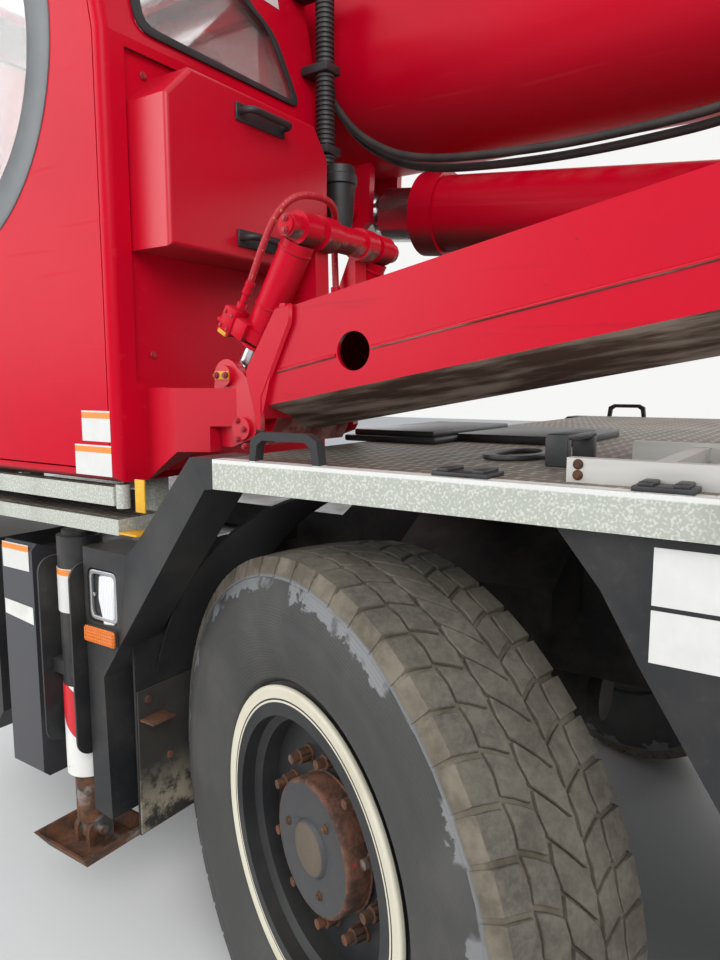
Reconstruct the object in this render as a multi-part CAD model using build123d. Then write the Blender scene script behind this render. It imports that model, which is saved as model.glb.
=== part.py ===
# Compact three-axle mobile crane with one cab on a lifting arm beside the boom.
# Frame: +Z up, the front looks along -Y, the driver's left side is +X.
# The origin is on the ground, under the middle of the crane's length and width.
# All sizes are in millimetres.
from build123d import *
from math import atan2, cos, degrees, hypot, radians, sin
import os

os.makedirs("parts", exist_ok=True)

# Layout along the crane, from its front tip to its tail
FRONT_TO_AXLE_1 = 3250
AXLE_1_TO_2 = 2200
AXLE_2_TO_3 = 1600
AXLE_1_TO_SLEW = 3000
SLEW_TO_TAIL = 2450
OVERALL_LENGTH = FRONT_TO_AXLE_1 + AXLE_1_TO_SLEW + SLEW_TO_TAIL
FRONT_Y = -OVERALL_LENGTH / 2
AXLE_1_Y = FRONT_Y + FRONT_TO_AXLE_1
AXLE_2_Y = AXLE_1_Y + AXLE_1_TO_2
AXLE_3_Y = AXLE_2_Y + AXLE_2_TO_3
AXLE_YS = (AXLE_1_Y, AXLE_2_Y, AXLE_3_Y)
SLEW_Y = AXLE_1_Y + AXLE_1_TO_SLEW
TAIL_Y = SLEW_Y + SLEW_TO_TAIL
CARRIER_WIDTH = 2550
HALF_WIDTH = CARRIER_WIDTH / 2

# Clearances
RUNNING_GAP = 0.05
PIN_GAP = 0.3
TYRE_GAP = 0.3
GLASS_GAP = 0.3

# Wheels
TYRE_RADIUS = 650
TYRE_HALF_WIDTH = 180
TREAD_HALF_WIDTH = 150
CROWN_DROP = 9
RIM_FLANGE_RADIUS = 355
RIM_SEAT_RADIUS = 318
RIM_HALF_WIDTH = 148
RIM_FLANGE_WIDTH = 21
RIM_WALL = 16
WELL_DEPTH = 46
DISC_OFFSET = 42
DISC_THICKNESS = 16
HUB_RADIUS = 146
HUB_FACE = 122
HUB_NOSE_RADIUS = 58
STUB_RADIUS = 45
STUD_CIRCLE = 188
STUD_COUNT = 10
NUT_RADIUS = 17
NUT_HEIGHT = 30
KINGPIN_X = HALF_WIDTH - 345
KINGPIN_TO_TYRE = 140
KINGPIN_RADIUS = 55
KINGPIN_HEIGHT = 380
REST_STEER = (21.4, 9.5, 0.0)
SWING_RADIUS = 776

# Axle beams and struts
BEAM_HALF_DEPTH = 75
BEAM_HALF_HEIGHT = 85
DIFF_RADIUS = 190
YOKE_THICKNESS = 42
YOKE_HALF_DEPTH = 62
STRUT_X = KINGPIN_X - 370
STRUT_RADIUS = 58
STRUT_PITCH = 300
STRUT_HEIGHT = 325

# Carrier frame
FRAME_HALF_WIDTH = 400
FRAME_BOTTOM = 860
FRAME_TOP = 1340
FRAME_FRONT = AXLE_1_Y - 2300
FRAME_FRONT_TOP = 1225
FRAME_STEP_Y = AXLE_1_Y - 560
FRAME_REAR = AXLE_3_Y + 1450
SLEW_RING_RADIUS = 540

# Deck
DECK_TOP = 1500
DECK_SHEET = 8
DECK_EDGE_HEIGHT = 62
DECK_EDGE_THICKNESS = 30
DECK_FRONT = AXLE_1_Y - 264
DECK_REAR = FRAME_REAR + 80
DECK_HOLE_RADIUS = 640
DECK_LOW = DECK_TOP - DECK_EDGE_HEIGHT
LADDER_WIDTH = 430
LADDER_LENGTH = 1300
LADDER_RUNGS = 5

# Front fenders
FENDER_X = HALF_WIDTH - 120
FENDER_INNER_X = 720
LAMP_FRONT = AXLE_1_Y - 885
LAMP_REAR = AXLE_1_Y - 704
GUARD_Y = AXLE_1_Y - 808
LAMP_LOW = 445
LAMP_HIGH = 1215

# Outriggers
JACK_RADIUS = 62
ROD_RADIUS = 45
BEAM_WIDTH = 150
BEAM_HEIGHT = 260
BEAM_WALL = 12
BEAM_GAP = 8
BOX_WALL = 14
CHANNEL_PITCH = 240
BEAM_BOTTOM = 860
BEAM_OVERLAP = 240
JACK_X = HALF_WIDTH - 175
JACK_TOP = 1235
JACK_BOTTOM = 534
FOOT_BOTTOM = 300
FOOT_SIZE = 240
BOX_END = FENDER_X - 147
GUARD_REACH = HALF_WIDTH - 85
FRONT_JACK_Y = AXLE_1_Y - 975
REAR_JACK_Y = AXLE_3_Y + 1260

# Superstructure
TURNTABLE_BOTTOM = DECK_TOP + 8
TURNTABLE_PLATE = 58
TURNTABLE_RADIUS = 620
BASE_PLATE = 32
BASE_BOTTOM = TURNTABLE_BOTTOM + TURNTABLE_PLATE
BASE_TOP = BASE_BOTTOM + BASE_PLATE
BASE_HALF_WIDTH = 410
BASE_FRONT = SLEW_Y - 850
BASE_REAR = SLEW_Y + 1900
CHEEK_THICKNESS = 36
CHEEK_GAP = 8
COUNTERWEIGHT_HALF_WIDTH = 1180
COUNTERWEIGHT_TOP = 2300
WINCH = (SLEW_Y + 1420, 1860)
WINCH_RADIUS = 200
WINCH_HALF_WIDTH = 265

# Boom
BOOM_HALF_WIDTH = 300
BOOM_HEIGHT = 750
BOOM_BOTTOM = 2400
BOOM_WALL = 9
SECTION_STEP = 27
BOOM_TOP_RADIUS = 95
BOOM_FRONT = FRONT_Y + 560
BOOM_TAIL = SLEW_Y + 1760
SECTION_COUNT = 4
SECTION_TAIL_GAP = 420
COLLAR_DEPTH = 90
COLLAR_GAP = 6
COLLAR_PROUD = 14
BOOM_PIVOT = (SLEW_Y + 1350, 2700)
BOOM_PIN_RADIUS = 75
CHEEK_X = BOOM_HALF_WIDTH + CHEEK_GAP
SHEAVE_RADIUS = 150
HEAD_SHEAVE_Z = 2780
HOOK_PIN = (FRONT_Y + 170, 2330)
HOOK_PIN_RADIUS = 28

# Luffing ram
RAM_BASE = (SLEW_Y - 650, 1950)
RAM_EYE = (AXLE_1_Y - 750, 2270)
RAM_RADIUS = 125
RAM_ROD_RADIUS = 92
RAM_MOUTH = 270
RAM_PIN_RADIUS = 55
EYE_HALF_WIDTH = 70
EAR_THICKNESS = 30
EAR_GAP = 6

# Cab
CAB_OUTER_X = HALF_WIDTH - 75
CAB_INNER_X = 345
CAB_FRONT = AXLE_1_Y - 2450
CAB_REAR = AXLE_1_Y - 660
CAB_BOTTOM = 1412
CAB_TOP = 2990
CAB_WALL = 40
CAB_EDGE_RADIUS = 24
DOOR_THICKNESS = 34
DOOR_GAP = 4
GLASS = 6
GLASS_INSET = 12
SIDE_PANE_RADIUS = 520
SIDE_PANE_BORDER = 90
SIDE_PANE_Y = AXLE_1_Y - 1380
SIDE_PANE_Z = 2520
SEAT_HEIGHT = 420
STEERING_WHEEL_RADIUS = 200

# Cab arm
ARM_OUTER_X = 1100
ARM_INNER_X = 700
ARM_WALL = 10
ARM_PIN_RADIUS = 50
ARM_FRONT_PIN_RADIUS = 26
ARM_FRONT_PIN = (CAB_REAR + 325, 1552)
ARM_REAR_PIN = (SLEW_Y + 300, 2360)
ARM_FRONT_Y = CAB_REAR + 404
ARM_KEEL = 58
ARM_TOP = (1805, 2502)
ARM_LOW = (1607, 2230)
LUG_INSET = 48
TILT_TOP_PIN = (CAB_REAR + 462, 1984)
TILT_LOW_PIN = (CAB_REAR + 275, 1671)
TILT_XS = (ARM_OUTER_X - 51, ARM_INNER_X + 51)
TILT_RADIUS = 37
TILT_EYE_HALF = 26
TILT_ROD_RADIUS = 22
TILT_PIN_RADIUS = 24
POST_THICKNESS = 48
POST_INSET = 98
CROSS_TUBE_RADIUS = 31


def cuboid(x0, x1, y0, y1, z0, z1):
    """A box between two corners."""
    centre = ((x0 + x1) / 2, (y0 + y1) / 2, (z0 + z1) / 2)
    return Pos(*centre) * Box(abs(x1 - x0), abs(y1 - y0), abs(z1 - z0))


def outline(points, radius=0.0):
    """A closed flat face through the points, its corners rounded."""
    face = make_face(Polyline(*points, close=True))
    if radius > 0:
        face = fillet(face.vertices(), radius)
    return face


def slab_x(points, x0, x1, radius=0.0):
    """An outline in (Y, Z), drawn out along X."""
    plane = Plane(origin=(min(x0, x1), 0, 0), x_dir=(0, 1, 0), z_dir=(1, 0, 0))
    return extrude(plane * outline(points, radius), abs(x1 - x0))


def slab_y(points, y0, y1, radius=0.0):
    """An outline in (X, Z), drawn out along Y."""
    plane = Plane(origin=(0, max(y0, y1), 0), x_dir=(1, 0, 0), z_dir=(0, -1, 0))
    return extrude(plane * outline(points, radius), abs(y1 - y0))


def slab_z(points, z0, z1, radius=0.0):
    """An outline in (X, Y), drawn out along Z."""
    plane = Plane(origin=(0, 0, min(z0, z1)))
    return extrude(plane * outline(points, radius), abs(z1 - z0))


def rod_x(radius, x0, x1, y, z):
    """A round bar along X."""
    return Pos((x0 + x1) / 2, y, z) * Rot(0, 90, 0) * Cylinder(radius, abs(x1 - x0))


def rod_y(radius, y0, y1, x, z):
    """A round bar along Y."""
    return Pos(x, (y0 + y1) / 2, z) * Rot(90, 0, 0) * Cylinder(radius, abs(y1 - y0))


def rod_z(radius, z0, z1, x, y):
    """A round bar along Z."""
    return Pos(x, y, (z0 + z1) / 2) * Cylinder(radius, abs(z1 - z0))


def span(start, end):
    """The distance between two (Y, Z) points."""
    return hypot(end[0] - start[0], end[1] - start[1])


def along(start, end, distance):
    """The (Y, Z) point that lies a distance from start towards end."""
    share = distance / span(start, end)
    return (start[0] + (end[0] - start[0]) * share, start[1] + (end[1] - start[1]) * share)


def rod_between(radius, start, end, x):
    """A round bar between two (Y, Z) points at one X."""
    angle = degrees(atan2(end[1] - start[1], end[0] - start[0]))
    middle = ((start[0] + end[0]) / 2, (start[1] + end[1]) / 2)
    return Pos(x, *middle) * Rot(angle - 90, 0, 0) * Cylinder(radius, span(start, end))


def both_sides(shape):
    """The shape and its mirror image in the crane's middle plane."""
    return shape + mirror(shape, Plane.YZ)


def bow(points, bend, radius):
    """A round bar bent through the points."""
    path = FilletPolyline(*points, radius=bend)
    section = Plane(origin=path @ 0, z_dir=path % 0) * Circle(radius)
    return sweep(section, path=path)


def save(node, shape):
    """Writes one node's STEP file."""
    export_step(shape, f"parts/{node}.step")


# Wheels: each is drawn about its own kingpin, then turned to its steering angle.
def turned(profile, side):
    """A profile of (distance along the axle, radius), revolved about the wheel's axle."""
    points = [(side * (KINGPIN_TO_TYRE + s), r) for s, r in profile]
    plane = Plane(origin=(0, 0, 0), x_dir=(1, 0, 0), z_dir=(0, -1, 0))
    return revolve(plane * outline(points), Axis.X)


def steered(shape, axle, side):
    """Moves a wheel part from its kingpin's own frame to its place on the axle."""
    place = Pos(side * KINGPIN_X, AXLE_YS[axle], TYRE_RADIUS)
    return place * Rot(0, 0, -REST_STEER[axle]) * shape


def tyre(side):
    """A closed ring with a nearly flat crown, rounded shoulders and bulged walls."""
    bead = RIM_HALF_WIDTH - RIM_FLANGE_WIDTH - 5
    half = [
        (bead, RIM_SEAT_RADIUS + TYRE_GAP),
        (bead + 2, RIM_FLANGE_RADIUS + 6),
        (TYRE_HALF_WIDTH - 14, RIM_FLANGE_RADIUS + 62),
        (TYRE_HALF_WIDTH, RIM_FLANGE_RADIUS + 135),
        (TYRE_HALF_WIDTH - 8, TYRE_RADIUS - 85),
        (TREAD_HALF_WIDTH + 4, TYRE_RADIUS - 34),
        (TREAD_HALF_WIDTH - 8, TYRE_RADIUS - CROWN_DROP - 4),
        (TREAD_HALF_WIDTH - 50, TYRE_RADIUS),
    ]
    mirrored = [(-s, r) for s, r in reversed(half)]
    return turned(half + mirrored, side)


def rim(side):
    """A deep rim barrel with two flanges, its disc, the planetary hub and the wheel nuts."""
    edge = RIM_HALF_WIDTH
    flange = RIM_FLANGE_WIDTH
    inner = RIM_SEAT_RADIUS - RIM_WALL
    well = RIM_SEAT_RADIUS - WELL_DEPTH
    face = DISC_OFFSET + DISC_THICKNESS
    profile = [
        (-edge, RIM_FLANGE_RADIUS),
        (-edge + flange - 1, RIM_FLANGE_RADIUS - 8),
        (-edge + flange, RIM_SEAT_RADIUS),
        (edge - flange, RIM_SEAT_RADIUS),
        (edge - flange + 1, RIM_FLANGE_RADIUS - 8),
        (edge, RIM_FLANGE_RADIUS),
        (edge, inner - 12),
        (edge - 34, inner - 12),
        (edge - 46, well),
        (face, well),
        (face, HUB_RADIUS),
        (HUB_FACE - 10, HUB_RADIUS),
        (HUB_FACE, HUB_RADIUS - 10),
        (HUB_FACE, HUB_NOSE_RADIUS),
        (HUB_FACE + 8, HUB_NOSE_RADIUS - 6),
        (HUB_FACE + 8, 0),
        (HUB_FACE - 40, 0),
        (HUB_FACE - 40, STUB_RADIUS + RUNNING_GAP),
        (DISC_OFFSET - 60, STUB_RADIUS + RUNNING_GAP),
        (DISC_OFFSET - 60, HUB_RADIUS - 20),
        (DISC_OFFSET, HUB_RADIUS - 20),
        (DISC_OFFSET, well - RIM_WALL),
        (-edge, well - RIM_WALL),
    ]
    body = turned(profile, side)
    disc_face = side * (KINGPIN_TO_TYRE + face)
    for turn in range(STUD_COUNT):
        angle = radians(360 / STUD_COUNT * (turn + 0.5))
        y = STUD_CIRCLE * cos(angle)
        z = STUD_CIRCLE * sin(angle)
        seat = Plane(origin=(disc_face, y, z), z_dir=(side, 0, 0))
        body += extrude(seat * RegularPolygon(NUT_RADIUS, 6), NUT_HEIGHT)
    return body


def knuckle(side):
    """The kingpin barrel with its stub axle, brake drum backing and steering arm."""
    half = KINGPIN_HEIGHT / 2
    inner_stop = KINGPIN_TO_TYRE + DISC_OFFSET - 60
    body = rod_z(KINGPIN_RADIUS, -half, half, 0, 0)
    body += rod_x(STUB_RADIUS, 0, side * (KINGPIN_TO_TYRE + HUB_FACE - 42), 0, 0)
    body += rod_x(KINGPIN_RADIUS + 20, 0, side * (inner_stop - 6), 0, 0)
    body += rod_x(HUB_RADIUS + 30, side * (inner_stop - 44), side * (inner_stop - 6), 0, 0)
    body += cuboid(-20, 20, 0, 190, -150, -115)
    return body


SIDES = (("left", 1), ("right", -1))
for axle in range(3):
    for name, side in SIDES:
        save(f"tyre_{axle + 1}_{name}", steered(tyre(side), axle, side))
        save(f"rim_{axle + 1}_{name}", steered(rim(side), axle, side))
        save(f"knuckle_{axle + 1}_{name}", steered(knuckle(side), axle, side))


# Axle beams: each carries two kingpins in its forked ends and hangs on four struts.
def axle_beam(y):
    """A beam with a round middle housing, two forked ends and its suspension struts."""
    z = TYRE_RADIUS
    inner = KINGPIN_X - KINGPIN_RADIUS - 20
    outer = KINGPIN_X + YOKE_HALF_DEPTH
    half = KINGPIN_HEIGHT / 2 + PIN_GAP
    low, high = z - half - YOKE_THICKNESS, z + half + YOKE_THICKNESS
    y0, y1 = y - YOKE_HALF_DEPTH, y + YOKE_HALF_DEPTH
    deep, tall = BEAM_HALF_DEPTH, BEAM_HALF_HEIGHT
    beam = cuboid(-inner, inner, y - deep, y + deep, z - tall, z + tall)
    beam = fillet(beam.edges().filter_by(Axis.X), 30)
    beam += Pos(0, y, z) * Sphere(DIFF_RADIUS)
    beam += rod_y(DIFF_RADIUS * 0.45, y - DIFF_RADIUS - 60, y + DIFF_RADIUS + 20, 0, z)
    fork = cuboid(inner - 50, inner, y0, y1, low, high)
    fork += cuboid(inner - 2, outer, y0, y1, low, low + YOKE_THICKNESS)
    fork += cuboid(inner - 2, outer, y0, y1, high - YOKE_THICKNESS, high)
    beam += both_sides(fork)
    seat = z + BEAM_HALF_HEIGHT - 20
    pitch = STRUT_PITCH / 2
    x0, x1 = STRUT_X - 70, STRUT_X + 70
    beam += both_sides(cuboid(x0, x1, y - pitch - 70, y + pitch + 70, seat - 40, seat))
    for y_strut in (y - pitch, y + pitch):
        sleeve = rod_z(STRUT_RADIUS, seat, seat + STRUT_HEIGHT * 0.55, STRUT_X, y_strut)
        piston = rod_z(STRUT_RADIUS - 16, seat, seat + STRUT_HEIGHT, STRUT_X, y_strut)
        beam += both_sides(sleeve + piston)
    return beam


save("axle_beams", Compound([axle_beam(y) for y in AXLE_YS]))


# Chassis: a box frame with cross members for the struts and two outrigger boxes.
JACKS = {
    "front_left": (1, FRONT_JACK_Y),
    "front_right": (-1, FRONT_JACK_Y - CHANNEL_PITCH),
    "rear_left": (1, REAR_JACK_Y - CHANNEL_PITCH),
    "rear_right": (-1, REAR_JACK_Y),
}
BEAM_TOP = BEAM_BOTTOM + BEAM_HEIGHT
CHANNEL_LOW = BEAM_BOTTOM - BEAM_GAP
CHANNEL_HIGH = BEAM_TOP + BEAM_GAP
CHANNEL_HALF = BEAM_WIDTH / 2 + BEAM_GAP


def outrigger_box(ys):
    """A box across the crane with one channel for each beam, and wear pads at its mouths."""
    low = min(ys) - CHANNEL_HALF - BOX_WALL
    high = max(ys) + CHANNEL_HALF + BOX_WALL
    box = cuboid(-BOX_END, BOX_END, low, high, CHANNEL_LOW - BOX_WALL, CHANNEL_HIGH + BOX_WALL)
    pad_half = BEAM_WIDTH / 2 - 10
    for y in ys:
        y0, y1 = y - CHANNEL_HALF, y + CHANNEL_HALF
        box -= cuboid(-BOX_END - 1, BOX_END + 1, y0, y1, CHANNEL_LOW, CHANNEL_HIGH)
        for x0, x1 in ((-BOX_END, -BOX_END + 80), (BOX_END - 80, BOX_END)):
            box += cuboid(x0, x1, y - pad_half, y + pad_half, CHANNEL_LOW - 1, BEAM_BOTTOM - PIN_GAP)
            box += cuboid(x0, x1, y - pad_half, y + pad_half, BEAM_TOP + PIN_GAP, CHANNEL_HIGH + 1)
    return box


def channel_cover(side, y):
    """The tall cover on the closed end of a beam's channel."""
    half = BEAM_WIDTH / 2 + 4
    outer = FENDER_X - 5
    face = [
        (BOX_END, CHANNEL_LOW),
        (BOX_END, CHANNEL_HIGH + BOX_WALL),
        (outer - 18, 1190),
        (outer, 1172),
        (outer, 488),
        (outer - 18, 470),
        (BOX_END + 40, 470),
    ]
    cover = slab_y(face, y - half, y + half)
    return cover if side > 0 else mirror(cover, Plane.YZ)


def chassis():
    """The welded carrier frame, stepped down under the cab."""
    half = FRAME_HALF_WIDTH
    side_view = [
        (FRAME_FRONT, FRAME_BOTTOM + 60),
        (FRAME_FRONT + 90, FRAME_BOTTOM),
        (FRAME_REAR, FRAME_BOTTOM),
        (FRAME_REAR, FRAME_TOP),
        (FRAME_STEP_Y + 120, FRAME_TOP),
        (FRAME_STEP_Y, FRAME_FRONT_TOP),
        (FRAME_FRONT, FRAME_FRONT_TOP),
    ]
    frame = slab_x(side_view, -half, half)
    strut_top = TYRE_RADIUS + BEAM_HALF_HEIGHT - 20 + STRUT_HEIGHT + PIN_GAP
    reach = STRUT_X + 90
    for y in AXLE_YS:
        hanger = [
            (-reach, strut_top),
            (reach, strut_top),
            (reach, strut_top + 110),
            (half, FRAME_TOP - 40),
            (-half, FRAME_TOP - 40),
            (-reach, strut_top + 110),
        ]
        frame += slab_y(hanger, y - STRUT_PITCH / 2 - 90, y + STRUT_PITCH / 2 + 90)
    for pair in (("front_left", "front_right"), ("rear_left", "rear_right")):
        ys = [JACKS[corner][1] for corner in pair]
        for y in ys:
            y0, y1 = y - CHANNEL_HALF, y + CHANNEL_HALF
            frame -= cuboid(-half - 1, half + 1, y0, y1, CHANNEL_LOW, CHANNEL_HIGH)
        frame += outrigger_box(ys)
    frame += rod_z(SLEW_RING_RADIUS, FRAME_TOP - 1, TURNTABLE_BOTTOM - PIN_GAP, 0, SLEW_Y)
    frame += rod_z(SLEW_RING_RADIUS + 60, FRAME_TOP - 1, DECK_LOW, 0, SLEW_Y)
    return frame


save("chassis_frame", chassis())
save("channel_covers", Compound([channel_cover(-side, y) for side, y in JACKS.values()]))


# Deck: tread plates with an edge band, over the frame from behind the cab to the rear.
BEARERS = (
    AXLE_1_Y - 150,
    AXLE_1_Y + 500,
    AXLE_2_Y - 500,
    AXLE_2_Y,
    AXLE_3_Y,
    AXLE_3_Y + 800,
    FRAME_REAR - 60,
)


def deck_handle(y0, y1):
    """A flat bow handle at the deck's edge."""
    low, high = DECK_TOP - 2, DECK_TOP + 59
    outside = [(y0, low), (y0 + 6, high - 13), (y0 + 30, high)]
    outside += [(y1 - 30, high), (y1 - 6, high - 13), (y1, low)]
    inside = [(y0 + 16, low - 1), (y0 + 21, high - 26), (y0 + 35, high - 16)]
    inside += [(y1 - 35, high - 16), (y1 - 21, high - 26), (y1 - 16, low - 1)]
    x0, x1 = HALF_WIDTH - 34, HALF_WIDTH - 10
    return slab_x(outside, x0, x1) - slab_x(inside, x0 - 1, x1 + 1)


def deck():
    """The deck plate with its edge band, the cross bearers below it and two bow handles."""
    half = HALF_WIDTH
    inset = DECK_EDGE_THICKNESS
    under = DECK_TOP - DECK_SHEET / 2
    whole = cuboid(-half, half, DECK_FRONT, DECK_REAR, DECK_TOP - DECK_SHEET, DECK_TOP)
    band = cuboid(-half, half, DECK_FRONT, DECK_REAR, DECK_LOW, under)
    y0, y1 = DECK_FRONT + inset, DECK_REAR - inset
    band -= cuboid(-half + inset, half - inset, y0, y1, DECK_LOW - 1, DECK_TOP)
    whole += band
    for y in BEARERS:
        whole += cuboid(-half + 5, half - 5, y - 30, y + 30, DECK_LOW, under)
        whole += cuboid(-FRAME_HALF_WIDTH, FRAME_HALF_WIDTH, y - 30, y + 30, FRAME_TOP, DECK_LOW + 1)
    whole -= rod_z(DECK_HOLE_RADIUS, FRAME_TOP - 1, DECK_TOP + 1, 0, SLEW_Y)
    for y in (AXLE_1_Y - 172, AXLE_2_Y - 200):
        whole += both_sides(deck_handle(y, y + 175))
    return whole


save("deck", deck())


def ladder():
    """The aluminium ladder that lies on the deck's left side."""
    x1 = HALF_WIDTH - 62
    x0 = x1 - LADDER_WIDTH
    y0 = AXLE_1_Y + 450
    y1 = y0 + LADDER_LENGTH
    low = DECK_TOP + PIN_GAP
    rails = None
    for x in (x0, x1 - 24):
        rail = cuboid(x, x + 24, y0, y1, DECK_TOP, low + 38)
        rails = rail if rails is None else rails + rail
    for rung in range(LADDER_RUNGS):
        y = y0 + LADDER_LENGTH * (rung + 0.5) / LADDER_RUNGS
        rails += cuboid(x0 + 1, x1 - 1, y - 15, y + 15, low + 6, low + 32)
    return rails


save("deck_ladder", ladder())


# Fenders: a lamp box, an upright guard, an arch and a slanted cover up to the deck's end.
def fender_section(share):
    """A section of the slanted cover, a share of the way from the lamp box to the deck."""
    low = (LAMP_REAR - 49 + share * 464, LAMP_HIGH - 260 + share * (DECK_LOW - LAMP_HIGH + 256))
    high = (LAMP_REAR + share * 374, LAMP_HIGH + share * (DECK_TOP - LAMP_HIGH))
    if 0 < share < 1:
        high = (high[0], high[1] - 9)
    x1 = FENDER_X + share * (HALF_WIDTH - FENDER_X)
    x0 = x1 - 135
    return make_face(Polyline((x0, *low), (x1, *low), (x1, *high), (x0, *high), close=True))


def fender():
    """The left front fender with its lamp box."""
    box_side = [
        (LAMP_FRONT, LAMP_HIGH + 4),
        (LAMP_REAR + 1, LAMP_HIGH),
        (LAMP_REAR - 48, LAMP_HIGH - 260),
        (GUARD_Y - 10, LAMP_HIGH - 350),
        (GUARD_Y, LAMP_LOW + 8),
        (LAMP_FRONT, LAMP_LOW + 16),
    ]
    whole = slab_x(box_side, FENDER_X - 135, FENDER_X)
    y0, y1 = LAMP_FRONT + 15, LAMP_REAR - 46
    recess = cuboid(FENDER_X - 12, FENDER_X + 1, y0, y1, LAMP_HIGH - 200, LAMP_HIGH - 50)
    whole -= fillet(recess.edges().filter_by(Axis.X), 22)
    whole += loft([fender_section(share) for share in (0, 0.225, 1)], ruled=True)
    tip = [
        (DECK_FRONT - 67, DECK_TOP),
        (DECK_FRONT - 0.5, DECK_TOP),
        (DECK_FRONT - 0.5, DECK_LOW),
        (DECK_FRONT - 26, DECK_LOW - 4),
    ]
    whole += slab_x(tip, HALF_WIDTH - 135, HALF_WIDTH)
    y0, y1 = AXLE_1_Y - SWING_RADIUS - 9, AXLE_1_Y - 20
    arch = rod_x(SWING_RADIUS + 6, FENDER_INNER_X, FENDER_X - 125, AXLE_1_Y, TYRE_RADIUS)
    arch -= rod_x(SWING_RADIUS, FENDER_INNER_X - 1, FENDER_X - 124, AXLE_1_Y, TYRE_RADIUS)
    whole += arch & cuboid(0, HALF_WIDTH, y0, y1, LAMP_HIGH - 375, DECK_TOP)
    plate_y = AXLE_1_Y - SWING_RADIUS + 16
    whole += cuboid(FENDER_INNER_X, FENDER_X - 50, plate_y, plate_y + 8, LAMP_LOW - 45, LAMP_HIGH - 75)
    y0, y1 = plate_y - 14, plate_y + 4
    whole += cuboid(FRAME_HALF_WIDTH, FENDER_X - 100, y0, y1, LAMP_HIGH - 90, LAMP_HIGH - 20)
    return whole


save("front_fenders", both_sides(fender()))

# Side boxes: they close the flanks between axles 1 and 2, above the arches.
BOX_MIDDLE = (AXLE_1_Y + AXLE_2_Y) / 2
BOX_TOP = DECK_LOW - 6
BOX_LOW = 560
BOX_X = HALF_WIDTH - 25
BOX_EDGE = (
    # height, half of the box's length there
    (BOX_TOP, 650),
    (1345, 580),
    (1234, 517),
    (1046, 399),
    (900, 340),
    (BOX_LOW + 60, 320),
    (BOX_LOW, 290),
)


def box_side(inset):
    """The side outline of a box, arched over the wheels at both of its ends."""
    front = [(BOX_MIDDLE - half + inset, z) for z, half in BOX_EDGE]
    rear = [(BOX_MIDDLE + half - inset, z) for z, half in reversed(BOX_EDGE)]
    points = front + rear
    return [(y, min(max(z, BOX_LOW + inset), BOX_TOP - inset)) for y, z in points]


def tool_box():
    """The left box with two raised lids."""
    whole = slab_x(box_side(0), FRAME_HALF_WIDTH + 80, BOX_X)
    x0 = FRAME_HALF_WIDTH
    whole += cuboid(x0, x0 + 81, BOX_MIDDLE - 200, BOX_MIDDLE + 200, 1180, 1240)
    for y0, y1 in ((BOX_MIDDLE - 300, BOX_MIDDLE - 8), (BOX_MIDDLE + 8, BOX_MIDDLE + 300)):
        lid = cuboid(BOX_X - 1, BOX_X + 8, y0, y1, BOX_LOW + 70, 980)
        whole += fillet(lid.edges().filter_by(Axis.X), 18)
        whole += cuboid(BOX_X + 7, BOX_X + 16, (y0 + y1) / 2 - 45, (y0 + y1) / 2 + 45, 900, 930)
    return whole


def engine_housing():
    """The right box: a louvred housing round the engine, open towards the frame."""
    x0, x1 = -BOX_X, -FRAME_HALF_WIDTH - 60
    whole = slab_x(box_side(0), x0, x1) - slab_x(box_side(12), x0 + 12, x1 + 1)
    for y in (BOX_MIDDLE - 470, BOX_MIDDLE + 470):
        whole += cuboid(x1 - 40, -FRAME_HALF_WIDTH, y - 30, y + 30, 1280, 1330)
        whole += cuboid(x1 - 40, x1, y - 30, y + 30, 1280, BOX_TOP - 4)
    for step in range(9):
        z = 700 + 40 * step
        whole -= cuboid(x0 - 1, x0 + 13, BOX_MIDDLE - 230, BOX_MIDDLE + 230, z, z + 16)
    return whole


def mudguard(y):
    """The left mudguard over a rear wheel, with its bracket from the frame."""
    radius = SWING_RADIUS - 36
    x0, x1 = KINGPIN_X - 180, HALF_WIDTH - 30
    arch = rod_x(radius + 6, x0, x1, y, TYRE_RADIUS) - rod_x(radius, x0 - 1, x1 + 1, y, TYRE_RADIUS)
    arch &= cuboid(x0, x1, y - radius - 9, y + radius + 9, TYRE_RADIUS + 130, DECK_TOP)
    arch += cuboid(FRAME_HALF_WIDTH, x0 + 12, y - 25, y + 25, 1306, 1334)
    arch += cuboid(x0, x0 + 12, y - 25, y + 25, 1306, TYRE_RADIUS + radius + 4)
    return arch


guards = both_sides(mudguard(AXLE_2_Y) + mudguard(AXLE_3_Y))
save("side_boxes", tool_box() + engine_housing() + guards)

engine = cuboid(-BOX_X + 90, -FRAME_HALF_WIDTH, BOX_MIDDLE - 290, BOX_MIDDLE + 290, 650, BOX_TOP - 32)
save("engine_block", engine)


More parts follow.
